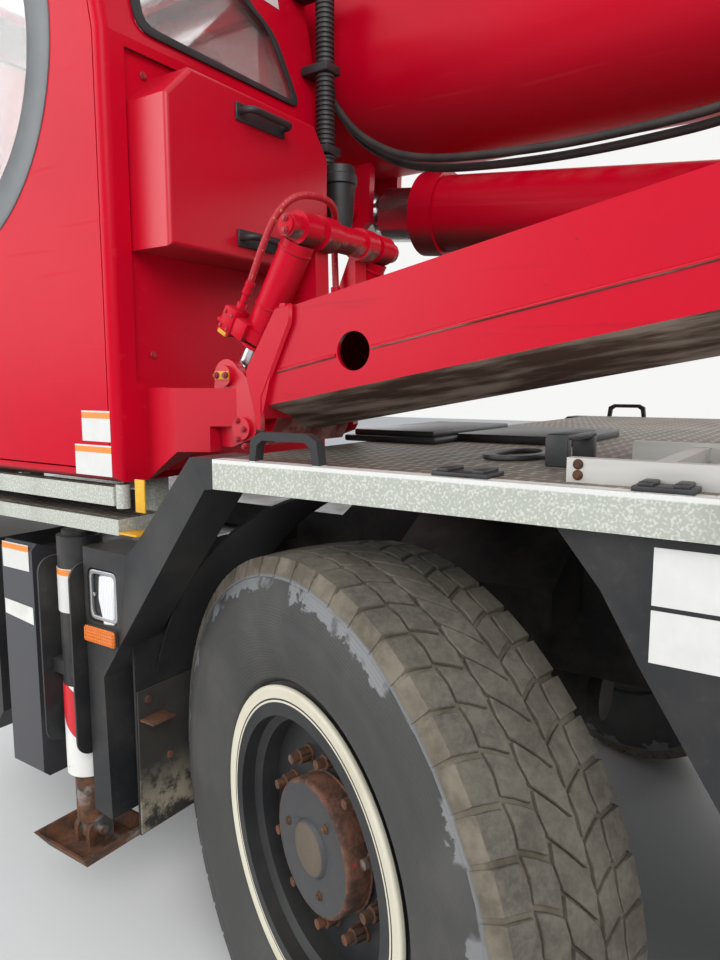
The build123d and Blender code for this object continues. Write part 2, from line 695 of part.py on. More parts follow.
# Bumpers: the front panel with its lamps and the boxes below the cab, and the rear beam.
def front_bumper():
    """The front panel, its two lamp recesses and the boxes behind it."""
    low, high = 470, 1180
    half = HALF_WIDTH - 95
    front = FRAME_FRONT - 120
    nose = slab_x(
        [
            (front, low + 60),
            (front + 60, low),
            (FRAME_FRONT + 20, low),
            (FRAME_FRONT - 0.5, FRAME_BOTTOM),
            (FRAME_FRONT - 0.5, high),
            (front + 30, high),
        ],
        -half,
        half,
    )
    nose -= both_sides(cuboid(half - 300, half - 60, front - 1, front + 45, low + 130, low + 270))
    for step in range(4):
        z = low + 380 + 55 * step
        nose -= cuboid(-360, 360, front - 1, front + 50, z, z + 28)
    side_view = [
        (FRAME_FRONT - 2, BOX_LOW - 20),
        (FRAME_FRONT + 880, BOX_LOW - 20),
        (FRAME_FRONT + 940, BOX_LOW + 60),
        (FRAME_FRONT + 940, high),
        (FRAME_FRONT - 2, high),
    ]
    boxes = slab_x(side_view, FRAME_HALF_WIDTH + 8, half - 40)
    boxes += cuboid(half - 41, half - 32, FRAME_FRONT + 60, FRAME_FRONT + 860, BOX_LOW + 60, high - 70)
    nose += both_sides(boxes)
    for x in (-260, 260):
        eye = cuboid(x - 14, x + 14, front - 60, front + 10, low + 40, low + 130)
        nose += eye - rod_x(22, x - 20, x + 20, front - 26, low + 85)
    return nose


def rear_bumper():
    """The rear beam with its two stays and its lamp housings."""
    y = FRAME_REAR
    half = HALF_WIDTH - 95
    bar = cuboid(-half, half, y + 20, y + 78, 560, 700)
    stay = cuboid(300, 380, y, y + 40, 600, FRAME_TOP - 100)
    lamp = cuboid(half - 340, half - 20, y + 22, y + 76, 699, 800)
    lamp -= cuboid(half - 325, half - 35, y + 66, y + 80, 715, 785)
    return bar + both_sides(stay + lamp)


save("front_bumper", front_bumper())
save("rear_bumper", rear_bumper())


# Outriggers: each beam carries the barrel of its jack, and the jack's rod its foot.
def outrigger_beam(side, y):
    """A box beam with its head plate, two guard plates and the jack's barrel."""
    x, half = side * JACK_X, BEAM_WIDTH / 2
    top = BEAM_TOP + 50
    bottom = BEAM_BOTTOM - 240
    whole = cuboid(side * (30 - BOX_END), x, y - half, y + half, BEAM_BOTTOM, BEAM_TOP)
    whole += cuboid(side * (BOX_END + 10), side * (BOX_END + 42), y - half, y + half, bottom, top)
    guard = cuboid(side * (BOX_END + 41), side * GUARD_REACH, y - half, y - half + 6, bottom, top)
    outer = guard.edges().filter_by(Axis.Y).sort_by(Axis.X)
    guard = fillet(outer[-2:] if side > 0 else outer[:2], 45)
    whole += guard + Pos(0, BEAM_WIDTH - 6, 0) * guard
    whole += rod_z(JACK_RADIUS, JACK_BOTTOM, JACK_TOP, x, y)
    whole += rod_z(JACK_RADIUS - 14, JACK_TOP - 1, JACK_TOP + 14, x, y)
    whole += cuboid(x - side * 80, x + side * 60, y - 70, y + 70, BEAM_BOTTOM - 27, BEAM_BOTTOM + 13)
    whole -= rod_z(ROD_RADIUS + RUNNING_GAP, JACK_BOTTOM - 1, JACK_TOP - 60, x, y)
    return whole


def outrigger_jack(side, y):
    """The jack's rod with the square foot pinned below it."""
    x, half = side * JACK_X, FOOT_SIZE / 2
    rod = rod_z(ROD_RADIUS, FOOT_BOTTOM + 84, JACK_TOP - 90, x, y)
    rod += cuboid(x - 30, x + 30, y - 19, y + 19, FOOT_BOTTOM + 30, FOOT_BOTTOM + 85)
    sole = Pos(x, y, FOOT_BOTTOM) * Rectangle(FOOT_SIZE - 60, FOOT_SIZE - 60)
    lip = Pos(x, y, FOOT_BOTTOM + 46) * Rectangle(FOOT_SIZE, FOOT_SIZE)
    hollow_low = Pos(x, y, FOOT_BOTTOM + 12) * Rectangle(FOOT_SIZE - 64, FOOT_SIZE - 64)
    hollow_high = Pos(x, y, FOOT_BOTTOM + 47) * Rectangle(FOOT_SIZE - 16, FOOT_SIZE - 16)
    foot = loft([sole, lip], ruled=True) - loft([hollow_low, hollow_high], ruled=True)
    for start in (-36, 18):
        fork = cuboid(x - 42, x + 42, y + start, y + start + 18, FOOT_BOTTOM + 11, FOOT_BOTTOM + 80)
        foot += fillet(fork.edges().filter_by(Axis.Y).group_by(Axis.Z)[-1], 24)
    foot += rod_y(15, y - 52, y + 52, x, FOOT_BOTTOM + 52)
    return rod + foot


for corner, (side, jack_y) in JACKS.items():
    save(f"outrigger_beam_{corner}", outrigger_beam(side, jack_y))
    save(f"outrigger_jack_{corner}", outrigger_jack(side, jack_y))


# Superstructure: the turntable with its two side plates, winch and counterweight.
def turntable():
    """The slewing plate, the two cheeks of the boom foot and the cab arm's bracket."""
    y = SLEW_Y
    whole = rod_z(TURNTABLE_RADIUS, TURNTABLE_BOTTOM, BASE_BOTTOM + 1, 0, y)
    half = BASE_HALF_WIDTH
    whole += cuboid(-half, half, BASE_FRONT, BASE_REAR, BASE_BOTTOM, BASE_TOP)
    cheek_side = [
        (BASE_FRONT + 20, BASE_TOP - 1),
        (BASE_REAR, BASE_TOP - 1),
        (BASE_REAR, 2080),
        (y + 1590, 2820),
        (y + 1440, 2900),
        (y + 1260, 2900),
        (y + 1110, 2820),
        (y + 300, 2240),
        (y - 500, 2110),
        (BASE_FRONT + 20, 2060),
    ]
    cheek = slab_x(cheek_side, CHEEK_X, CHEEK_X + CHEEK_THICKNESS)
    lightening = slab_x(
        [(y + 380, 1800), (y + 980, 1800), (y + 980, 2420), (y + 560, 2180), (y + 380, 2080)],
        CHEEK_X - 1,
        CHEEK_X + CHEEK_THICKNESS + 1,
        60,
    )
    whole += both_sides(cheek - lightening)
    arm_y, arm_z = ARM_REAR_PIN
    face = CHEEK_X + CHEEK_THICKNESS
    bracket = ARM_INNER_X - CHEEK_GAP
    tower_side = [
        (arm_y - 260, BASE_BOTTOM),
        (arm_y + 420, BASE_BOTTOM),
        (arm_y + 180, arm_z + 40),
        (arm_y + 100, arm_z + 110),
        (arm_y - 60, arm_z + 110),
        (arm_y - 110, arm_z),
    ]
    tower = slab_x(tower_side, face - 1, bracket)
    hollow = [
        (arm_y - 150, BASE_TOP + 60),
        (arm_y + 290, BASE_TOP + 60),
        (arm_y + 130, arm_z - 160),
        (arm_y - 60, arm_z - 160),
    ]
    whole += tower - slab_x(hollow, face + 40, bracket + 1, 30)
    whole += rod_x(ARM_PIN_RADIUS, bracket - 5, ARM_OUTER_X + 14, arm_y, arm_z)
    whole += rod_x(ARM_PIN_RADIUS + 35, bracket - 20, bracket + 3, arm_y, arm_z)
    whole += both_sides(rod_x(BOOM_PIN_RADIUS, BOOM_HALF_WIDTH - 19, face + 30, *BOOM_PIVOT))
    whole += both_sides(rod_x(BOOM_PIN_RADIUS + 45, face - 1, face + 14, *BOOM_PIVOT))
    whole += rod_x(RAM_PIN_RADIUS, -face - 20, face + 20, *RAM_BASE)
    whole += both_sides(rod_x(RAM_PIN_RADIUS + 40, face - 1, face + 12, *RAM_BASE))
    whole += both_sides(rod_x(60, WINCH_HALF_WIDTH + PIN_GAP, CHEEK_X + 1, *WINCH))
    whole += both_sides(rod_x(110, face - 1, face + 16, *WINCH))
    return whole


save("turntable", turntable())


def counterweight():
    """The ballast block at the superstructure's rear, with two lifting lugs."""
    low, half = BASE_BOTTOM + 14, COUNTERWEIGHT_HALF_WIDTH
    side_view = [
        (BASE_REAR, low),
        (TAIL_Y - 60, low),
        (TAIL_Y, low + 80),
        (TAIL_Y, COUNTERWEIGHT_TOP - 70),
        (TAIL_Y - 70, COUNTERWEIGHT_TOP),
        (BASE_REAR + 60, COUNTERWEIGHT_TOP),
        (BASE_REAR, COUNTERWEIGHT_TOP - 60),
    ]
    body = slab_x(side_view, -half, half)
    plan = [
        (-half, BASE_REAR),
        (-half, TAIL_Y - 260),
        (-half + 180, TAIL_Y),
        (half - 180, TAIL_Y),
        (half, TAIL_Y - 260),
        (half, BASE_REAR),
    ]
    body &= slab_z(plan, low - 1, COUNTERWEIGHT_TOP + 1)
    middle = (BASE_REAR + TAIL_Y) / 2
    body -= cuboid(-half - 1, -half + 12, BASE_REAR + 40, TAIL_Y - 280, 1930, 1945)
    body -= cuboid(half - 12, half + 1, BASE_REAR + 40, TAIL_Y - 280, 1930, 1945)
    top = COUNTERWEIGHT_TOP
    lug = cuboid(half - 330, half - 290, middle - 60, middle + 60, top - 1, top + 85)
    lug = fillet(lug.edges().filter_by(Axis.X).group_by(Axis.Z)[-1], 40)
    lug -= rod_x(26, half - 340, half - 280, middle, top + 42)
    return body + both_sides(lug)


save("counterweight", counterweight())

drum = rod_x(WINCH_RADIUS - 50, -WINCH_HALF_WIDTH, WINCH_HALF_WIDTH, *WINCH)
for x0, x1 in ((-WINCH_HALF_WIDTH, 30 - WINCH_HALF_WIDTH), (WINCH_HALF_WIDTH - 30, WINCH_HALF_WIDTH)):
    drum += rod_x(WINCH_RADIUS, x0, x1, *WINCH)
save("winch_drum", drum)


# Boom: a base section and four sections that slide out of each other.
def boom_face(inset):
    """The boom's outline in (X, Z): flat top with round corners, a half-round bottom."""
    half = BOOM_HALF_WIDTH - inset
    low = BOOM_BOTTOM + BOOM_HALF_WIDTH
    high = BOOM_BOTTOM + BOOM_HEIGHT - inset
    body = Pos(0, (low + high) / 2) * Rectangle(2 * half, high - low)
    top = body.vertices().group_by(Axis.Y)[-1]
    body = fillet(top, BOOM_TOP_RADIUS - inset / 2)
    return body + Pos(0, low) * Circle(half)


def boom_prism(inset, y0, y1):
    """A solid length of the boom's outline."""
    plane = Plane(origin=(0, max(y0, y1), 0), x_dir=(1, 0, 0), z_dir=(0, -1, 0))
    return extrude(plane * boom_face(inset), abs(y1 - y0))


def boom_tube(inset, y0, y1):
    """A hollow length of boom, open at both ends."""
    return boom_prism(inset, y0, y1) - boom_prism(inset + BOOM_WALL, y0 - 1, y1 + 1)


def slide_pads(inset, front):
    """The wear pads in a section's mouth, on which the next section slides."""
    ring = boom_prism(inset + BOOM_WALL - 0.5, front + 10, front + 70)
    ring -= boom_prism(inset + SECTION_STEP - PIN_GAP, front, front + 80)
    low = BOOM_BOTTOM + inset
    high = BOOM_BOTTOM + BOOM_HEIGHT - inset
    lower = ring & cuboid(-110, 110, front, front + 80, low, low + 80)
    upper = ring & cuboid(-110, 110, front, front + 80, high - 80, high)
    return lower + upper


def boom_base():
    """The base section with its foot bosses, the ram's ears and the front collar."""
    tube = boom_tube(0, BOOM_FRONT, BOOM_TAIL)
    collar = boom_prism(-COLLAR_PROUD, BOOM_FRONT, BOOM_FRONT + COLLAR_DEPTH)
    tube += collar - boom_prism(BOOM_WALL - 1, BOOM_FRONT - 1, BOOM_TAIL)
    half = BOOM_HALF_WIDTH
    tube += both_sides(rod_x(130, half - BOOM_WALL - 10, half + 2, *BOOM_PIVOT))
    bore = BOOM_PIN_RADIUS + RUNNING_GAP
    tube -= both_sides(rod_x(bore, half - BOOM_WALL - 30, half + 10, *BOOM_PIVOT))
    eye_y, eye_z = RAM_EYE
    inner = EYE_HALF_WIDTH + EAR_GAP
    outer = inner + EAR_THICKNESS
    ear_side = [
        (eye_y - 190, BOOM_BOTTOM + 45),
        (eye_y - 90, eye_z - 60),
        (eye_y - 40, eye_z - 95),
        (eye_y + 40, eye_z - 95),
        (eye_y + 95, eye_z - 50),
        (eye_y + 105, BOOM_BOTTOM + 45),
    ]
    ear = slab_x(ear_side, inner, outer) - boom_prism(BOOM_WALL / 2, eye_y - 300, eye_y + 300)
    tube += both_sides(ear)
    tube += both_sides(rod_x(RAM_PIN_RADIUS, outer - 1, outer + 22, eye_y, eye_z))
    return tube + slide_pads(0, BOOM_FRONT)


def boom_section(number):
    """A sliding section with its front collar."""
    inset = SECTION_STEP * number
    front = BOOM_FRONT - COLLAR_DEPTH * number
    tail = BOOM_TAIL - SECTION_TAIL_GAP - 60 * number
    tube = boom_tube(inset, front, tail)
    collar = boom_prism(inset - SECTION_STEP + 4, front, front + COLLAR_DEPTH - COLLAR_GAP)
    tube += collar - boom_prism(inset + BOOM_WALL - 1, front - 1, tail)
    return tube + slide_pads(inset, front)


def sheave(radius, width, x, y, z):
    """A rope sheave with its groove."""
    deep = radius - 22
    half = width / 2
    points = [(-half, 0), (half, 0), (half, radius), (half - 6, radius), (4, deep), (-4, deep)]
    points += [(6 - half, radius), (-half, radius)]
    plane = Plane(origin=(0, 0, 0), x_dir=(1, 0, 0), z_dir=(0, -1, 0))
    return Pos(x, y, z) * revolve(plane * outline(points), Axis.X)


def boom_head():
    """The innermost section with its closed end, head plates and sheaves."""
    number = SECTION_COUNT
    inset = SECTION_STEP * number
    front = BOOM_FRONT - COLLAR_DEPTH * (number - 1)
    tail = BOOM_TAIL - SECTION_TAIL_GAP - 60 * number
    tube = boom_tube(inset, front - 20, tail)
    tube += boom_prism(inset - SECTION_STEP + 4, front - 40, front - COLLAR_GAP)
    tip = FRONT_Y
    low = BOOM_BOTTOM - 130
    high = low + BOOM_HEIGHT
    head_side = [
        (front - 39, low + 260),
        (front - 39, high),
        (tip + 120, high),
        (tip + 20, high - 120),
        (tip + 20, high - 280),
        (tip + 90, low + 120),
        (tip + 90, low + 40),
        (tip + 140, low),
        (tip + 210, low),
        (tip + 240, low + 40),
    ]
    tube += both_sides(slab_x(head_side, 138, 162))
    for x in (-75, 0, 75):
        tube += sheave(SHEAVE_RADIUS, 40, x, tip + SHEAVE_RADIUS, HEAD_SHEAVE_Z)
    tube += rod_x(35, -180, 180, tip + SHEAVE_RADIUS, HEAD_SHEAVE_Z)
    tube += rod_x(HOOK_PIN_RADIUS, -180, 180, *HOOK_PIN)
    return tube


save("boom_base", boom_base())
for number in range(1, SECTION_COUNT):
    save(f"boom_section_{number + 1}", boom_section(number))
save(f"boom_section_{SECTION_COUNT + 1}", boom_head())


def hook_block():
    """The hook block that hangs on the boom head's lower pin."""
    y, z = HOOK_PIN
    body = rod_x(58, -60, 60, y, z) - rod_x(HOOK_PIN_RADIUS + RUNNING_GAP, -61, 61, y, z)
    side = [
        (y - 40, z - 45),
        (y + 40, z - 45),
        (y + 95, z - 200),
        (y + 70, z - 330),
        (y - 70, z - 330),
        (y - 95, z - 200),
    ]
    for x0, x1 in ((-60, -44), (44, 60)):
        body += slab_x(side, x0, x1)
    body += cuboid(-60, 60, y - 42, y + 42, z - 110, z - 50)
    body += sheave(90, 60, 0, y, z - 225)
    body += rod_x(24, -72, 72, y, z - 225)
    body += cuboid(-60, 60, y - 60, y + 60, z - 350, z - 322)
    body += rod_z(30, z - 420, z - 345, 0, y)
    hook_side = [
        (y - 34, z - 405),
        (y + 34, z - 405),
        (y + 92, z - 470),
        (y + 96, z - 540),
        (y + 50, z - 585),
        (y - 30, z - 592),
        (y - 86, z - 555),
        (y - 98, z - 500),
        (y - 72, z - 488),
        (y - 50, z - 522),
        (y - 8, z - 536),
        (y + 30, z - 512),
        (y + 34, z - 474),
        (y - 6, z - 440),
    ]
    body += slab_x(hook_side, -26, 26, 6)
    return body


save("hook_block", hook_block())

# Luffing ram: its barrel turns on the turntable, and its rod holds the boom by an open eye.
ram_length = span(RAM_BASE, RAM_EYE)


def ram_point(distance):
    """A point on the luffing ram's axis."""
    return along(RAM_BASE, RAM_EYE, distance)


mouth = ram_length - RAM_MOUTH
barrel = rod_between(RAM_RADIUS, ram_point(60), ram_point(mouth), 0)
barrel += rod_between(RAM_RADIUS + 14, ram_point(mouth - 90), ram_point(mouth - 4), 0)
barrel += rod_x(120, -EYE_HALF_WIDTH, EYE_HALF_WIDTH, *RAM_BASE)
barrel -= rod_x(RAM_PIN_RADIUS + RUNNING_GAP, -200, 200, *RAM_BASE)
barrel -= rod_between(RAM_ROD_RADIUS + RUNNING_GAP, ram_point(160), ram_point(mouth + 70), 0)
save("luff_ram_barrel", barrel)

ram_rod = rod_between(RAM_ROD_RADIUS, ram_point(170), ram_point(ram_length - 125), 0)
ram_rod += rod_between(EYE_HALF_WIDTH - 12, ram_point(ram_length - 200), ram_point(ram_length - 20), 0)
ram_rod += rod_x(92, -EYE_HALF_WIDTH, EYE_HALF_WIDTH, *RAM_EYE)
ram_rod -= rod_x(RAM_PIN_RADIUS + PIN_GAP, -200, 200, *RAM_EYE)
save("luff_ram_rod", ram_rod)


# Cab arm: a long box beside the boom that carries the cab on its front end.
def arm_section(y, inset):
    """The arm's five-sided outline at one Y, moved inwards."""
    share = (y - ARM_FRONT_Y) / (ARM_REAR_PIN[0] - ARM_FRONT_Y)
    top = ARM_TOP[0] + share * (ARM_TOP[1] - ARM_TOP[0]) - inset
    low = ARM_LOW[0] + share * (ARM_LOW[1] - ARM_LOW[0]) + inset
    x0, x1 = ARM_INNER_X + inset, ARM_OUTER_X - inset
    middle = (x0 + x1) / 2
    points = [(x0, y, top), (x1, y, top), (x1, y, low), (middle, y, low - ARM_KEEL), (x0, y, low)]
    return make_face(Polyline(*points, close=True))


def cab_arm():
    """The hollow lifting arm with its rear eye, end plate, front lug and the three posts."""
    rear_y, rear_z = ARM_REAR_PIN
    front_y, front_z = ARM_FRONT_PIN
    end_low = (ARM_FRONT_Y - 32, 1575)
    end_high = (ARM_FRONT_Y + 40, 1823)
    body = loft([arm_section(ARM_FRONT_Y - 60, 0), arm_section(rear_y, 0)], ruled=True)
    envelope = [
        (end_low[0] - 15, end_low[1] - 50),
        (end_high[0] + 15, end_high[1] + 50),
        (rear_y + 1, rear_z + 400),
        (rear_y + 1, rear_z - 400),
        (rear_y - 1500, 1575 - 60),
    ]
    body &= slab_x(envelope, ARM_INNER_X - 1, ARM_OUTER_X + 1)
    body += rod_x((ARM_TOP[1] - ARM_LOW[1]) / 2, ARM_INNER_X, ARM_OUTER_X, rear_y, rear_z)
    ends = (ARM_FRONT_Y + 65, rear_y - 220)
    body -= loft([arm_section(y, ARM_WALL) for y in ends], ruled=True)
    plate = [end_low, end_high, (end_high[0] + 15, end_high[1]), (end_low[0] + 15, end_low[1])]
    body += slab_x(plate, ARM_INNER_X, ARM_OUTER_X + 12)
    body -= rod_x(40, ARM_OUTER_X - 30, ARM_OUTER_X + 5, AXLE_1_Y - 34, 1719)
    body -= rod_x(ARM_PIN_RADIUS + RUNNING_GAP, ARM_INNER_X - 5, ARM_OUTER_X + 5, rear_y, rear_z)
    lug_side = [
        (front_y - 44, front_z - 14),
        (front_y - 14, front_z - 44),
        (front_y + 22, front_z - 40),
        (end_low[0] + 24, end_low[1] + 26),
        (end_low[0] + 48, end_low[1] + 110),
        (front_y, front_z + 52),
        (front_y - 40, front_z + 26),
    ]
    body += slab_x(lug_side, ARM_INNER_X + LUG_INSET, ARM_OUTER_X - LUG_INSET)
    bore = ARM_FRONT_PIN_RADIUS + RUNNING_GAP
    body -= rod_x(bore, ARM_INNER_X, ARM_OUTER_X, front_y, front_z)
    top_y, top_z = TILT_TOP_PIN
    post_side = [
        (top_y - 14, top_z - 8),
        (front_y - 20, front_z + 108),
        (front_y - 36, front_z + 46),
        (end_low[0] - 12, end_low[1] + 26),
        (end_low[0] + 48, end_low[1] + 124),
        (end_high[0] + 15, end_high[1] - 22),
        (top_y - 6, top_z - 20),
    ]
    insides = (ARM_INNER_X + POST_INSET, ARM_OUTER_X - POST_INSET)
    for start in (insides[0], insides[1] - POST_THICKNESS):
        body += slab_x(post_side, start, start + POST_THICKNESS)
        body += rod_x(TILT_RADIUS + 1, start, start + POST_THICKNESS, top_y, top_z)
    body += rod_x(CROSS_TUBE_RADIUS, *insides, top_y, top_z)
    return body + rod_x(TILT_PIN_RADIUS, ARM_INNER_X - 8, ARM_OUTER_X + 8, top_y, top_z)


save("cab_arm", cab_arm())

tilt_length = span(TILT_TOP_PIN, TILT_LOW_PIN)
barrel_length = tilt_length - 92


def tilt_point(distance):
    """A point on a tilt ram's axis, from its upper pin."""
    return along(TILT_TOP_PIN, TILT_LOW_PIN, distance)


def tilt_barrel(x):
    """A tilt ram's barrel with its upper eye."""
    body = rod_between(TILT_RADIUS, tilt_point(30), tilt_point(barrel_length), x)
    gland = (tilt_point(barrel_length - 30), tilt_point(barrel_length - 2))
    body += rod_between(TILT_RADIUS + 4, *gland, x)
    body += rod_x(TILT_RADIUS - 2, x - TILT_EYE_HALF, x + TILT_EYE_HALF, *TILT_TOP_PIN)
    body -= rod_x(TILT_PIN_RADIUS + RUNNING_GAP, x - 60, x + 60, *TILT_TOP_PIN)
    body -= rod_between(TILT_ROD_RADIUS + RUNNING_GAP, tilt_point(90), tilt_point(tilt_length), x)
    return body


def tilt_rod(x):
    """A tilt ram's rod with its open lower eye."""
    body = rod_between(TILT_ROD_RADIUS, tilt_point(96), tilt_point(tilt_length - 22), x)
    body += rod_x(34, x - TILT_EYE_HALF, x + TILT_EYE_HALF, *TILT_LOW_PIN)
    return body - rod_x(TILT_PIN_RADIUS + PIN_GAP, x - 60, x + 60, *TILT_LOW_PIN)


save("tilt_ram_barrels", tilt_barrel(TILT_XS[0]) + tilt_barrel(TILT_XS[1]))
save("tilt_ram_rods", tilt_rod(TILT_XS[0]) + tilt_rod(TILT_XS[1]))

# Cab: a hollow shell, its sliding door, panes, seat and console.
CAB_SIDE = [
    (CAB_REAR, CAB_BOTTOM),
    (CAB_REAR, 2460),
    (CAB_REAR - 80, 2900),
    (CAB_REAR - 170, CAB_TOP),
    (CAB_FRONT + 560, CAB_TOP),
    (CAB_FRONT + 430, CAB_TOP - 50),
    (CAB_FRONT + 30, 2050),
    (CAB_FRONT, 1850),
    (CAB_FRONT + 40, CAB_BOTTOM),
]
DOOR_FRONT = CAB_FRONT + 440
DOOR_LOW = CAB_BOTTOM + 30
DOOR_INSET = 32
REAR_PANE = [
    (CAB_OUTER_X - 106, 2490),
    (CAB_INNER_X + 133, 2490),
    (CAB_INNER_X + 210, 2686),
    (CAB_INNER_X + 301, 2731),
    (CAB_INNER_X + 420, 2860),
    (CAB_OUTER_X - 106, 2860),
]
INNER_PANE = [
    (CAB_REAR - 250, 2120),
    (CAB_REAR - 250, 2860),
    (CAB_FRONT + 560, 2860),
    (CAB_FRONT + 470, 2700),
    (CAB_FRONT + 470, 2120),
]
QUARTER_PANE = [
    (CAB_FRONT + 90, 2060),
    (CAB_FRONT + 400, 2060),
    (CAB_FRONT + 400, 2740),
]


def cab_block(inset, x0, x1):
    """The cab's side outline, moved inwards and drawn out along X."""
    plane = Plane(origin=(x0, 0, 0), x_dir=(0, 1, 0), z_dir=(1, 0, 0))
    face = outline(CAB_SIDE)
    if inset > 0:
        face = offset(face, -inset, kind=Kind.INTERSECTION)
    return extrude(plane * face, x1 - x0)


def pane_x(points, gap, x0, x1):
    """A pane's outline in (Y, Z), made smaller by a gap and drawn out along X."""
    plane = Plane(origin=(x0, 0, 0), x_dir=(0, 1, 0), z_dir=(1, 0, 0))
    face = fillet(outline(points).vertices(), 30)
    if gap > 0:
        face = offset(face, -gap)
    return extrude(plane * face, x1 - x0)


def pane_y(points, gap):
    """A pane's outline in (X, Z), made smaller by a gap and drawn through the rear wall."""
    plane = Plane(origin=(0, CAB_REAR + 10, 0), x_dir=(1, 0, 0), z_dir=(0, -1, 0))
    face = fillet(outline(points).vertices(), 30)
    if gap > 0:
        face = offset(face, -gap)
    return extrude(plane * face, 240)


def side_window(radius, x0, x1):
    """The round-bottomed window in the door."""
    disc = rod_x(radius, x0, x1, SIDE_PANE_Y, SIDE_PANE_Z)
    top = CAB_TOP - 112 - (SIDE_PANE_RADIUS - radius)
    return disc & cuboid(x0, x1, SIDE_PANE_Y - 700, SIDE_PANE_Y + 700, SIDE_PANE_Z - 700, top)


def door_block(grow):
    """The door's place in the cab's outer side."""
    x0 = CAB_OUTER_X - DOOR_THICKNESS
    block = cab_block(DOOR_INSET - grow, x0, CAB_OUTER_X + 1)
    area = cuboid(x0, CAB_OUTER_X + 1, DOOR_FRONT - grow, CAB_REAR, DOOR_LOW - grow, CAB_TOP)
    return block & area


def front_panes(gap):
    """The blocks that cut the windscreen and the low front pane out of the cab's skin."""
    x0, x1 = CAB_INNER_X + 70 + gap, CAB_OUTER_X - 70 - gap
    high = cuboid(x0, x1, CAB_FRONT - 50, CAB_FRONT + 500, 2090 + gap, 2890 - gap)
    low = cuboid(x0, x1, CAB_FRONT - 50, CAB_FRONT + 300, 1530 + gap, 1810 - gap)
    return high + low


def roof_pane(gap):
    """The block that cuts the roof pane."""
    x0, x1 = CAB_INNER_X + 110 + gap, CAB_OUTER_X - 110 - gap
    return cuboid(x0, x1, CAB_FRONT + 640 + gap, CAB_REAR - 330 - gap, CAB_TOP - 60, CAB_TOP + 10)


def rounded_cab():
    """The cab's outer form with rounded side edges."""
    block = cab_block(0, CAB_INNER_X, CAB_OUTER_X)
    faces = block.faces().sort_by(Axis.X)
    return fillet(faces[0].edges() + faces[-1].edges(), CAB_EDGE_RADIUS)


def cab_shell():
    """The cab's body with its openings for the door and the panes."""
    x0, x1 = CAB_INNER_X, CAB_OUTER_X
    body = rounded_cab() - cab_block(CAB_WALL, x0 + CAB_WALL, x1 - CAB_WALL)
    body -= door_block(DOOR_GAP)
    body -= cuboid(x1 - 200, x1 + 10, DOOR_FRONT + 60, CAB_REAR - 160, DOOR_LOW + 60, CAB_TOP - 140)
    body -= pane_x(INNER_PANE, 0, x0 - 10, x0 + CAB_WALL + 10)
    body -= pane_x(QUARTER_PANE, 0, x0 - 10, x1 + 10)
    body -= pane_y(REAR_PANE, 0)
    body -= front_panes(0)
    body -= roof_pane(0)
    body -= cuboid(x0 + 155, x1 - 65, CAB_REAR - PANEL_DEPTH, CAB_REAR + 10, 1660, 2436)
    return body


def cab_glass():
    """The panes, each a little smaller than its opening."""
    gap = GLASS_GAP
    x0 = CAB_INNER_X + GLASS_INSET
    x1 = CAB_OUTER_X - GLASS_INSET
    inner = CAB_INNER_X + CAB_WALL
    skin = cab_block(GLASS_INSET, inner, CAB_OUTER_X - CAB_WALL)
    skin -= cab_block(GLASS_INSET + GLASS, inner - 1, CAB_OUTER_X)
    panes = [
        side_window(SIDE_PANE_RADIUS - gap, x1 - GLASS, x1),
        pane_x(INNER_PANE, gap, x0, x0 + GLASS),
        pane_x(QUARTER_PANE, gap, x0, x0 + GLASS),
        pane_x(QUARTER_PANE, gap, x1 - GLASS, x1),
        skin & pane_y(REAR_PANE, gap),
        skin & roof_pane(gap),
    ]
    panes += (skin & front_panes(gap)).solids()
    return Compound(panes)


PANEL_DEPTH = 12
save("cab_shell", cab_shell())
save("cab_glass", cab_glass())

door = door_block(0) & cuboid(0, CAB_OUTER_X, CAB_FRONT, CAB_REAR, CAB_BOTTOM, CAB_TOP)
door -= side_window(SIDE_PANE_RADIUS, CAB_OUTER_X - 100, CAB_OUTER_X + 10)
save("cab_door", door)

SEAT_X = (CAB_INNER_X + CAB_OUTER_X) / 2
SEAT_Y = CAB_REAR - 560
FLOOR = CAB_BOTTOM + CAB_WALL


def cab_seat():
    """The seat with its pedestal, cushion, back, headrest and two armrests."""
    x, y, top = SEAT_X, SEAT_Y, FLOOR + SEAT_HEIGHT
    seat = cuboid(x - 130, x + 130, y - 180, y + 180, FLOOR, top - 100)
    cushion = cuboid(x - 240, x + 240, y - 270, y + 230, top - 120, top)
    seat += fillet(cushion.edges().group_by(Axis.Z)[-1], 35)
    low = top - 60
    back_side = [
        (SEAT_Y + 170, low),
        (SEAT_Y + 270, low),
        (SEAT_Y + 330, low + 640),
        (SEAT_Y + 250, low + 640),
    ]
    back = slab_x(back_side, SEAT_X - 225, SEAT_X + 225)
    seat += fillet(back.edges().filter_by(Axis.X).group_by(Axis.Z)[-1], 35)
    head_side = [
        (SEAT_Y + 262, low + 630),
        (SEAT_Y + 325, low + 630),
        (SEAT_Y + 345, low + 800),
        (SEAT_Y + 270, low + 800),
    ]
    seat += slab_x(head_side, SEAT_X - 120, SEAT_X + 120, 20)
    for x in (SEAT_X - 300, SEAT_X + 235):
        seat += cuboid(x, x + 65, SEAT_Y - 190, SEAT_Y + 220, low + 200, low + 250)
        seat += cuboid(x, x + 65, SEAT_Y + 150, SEAT_Y + 220, low + 10, low + 205)
        joystick = rod_z(14, low + 249, low + 330, x + 32, SEAT_Y - 150)
        seat += joystick
    return seat


save("cab_seat", cab_seat())


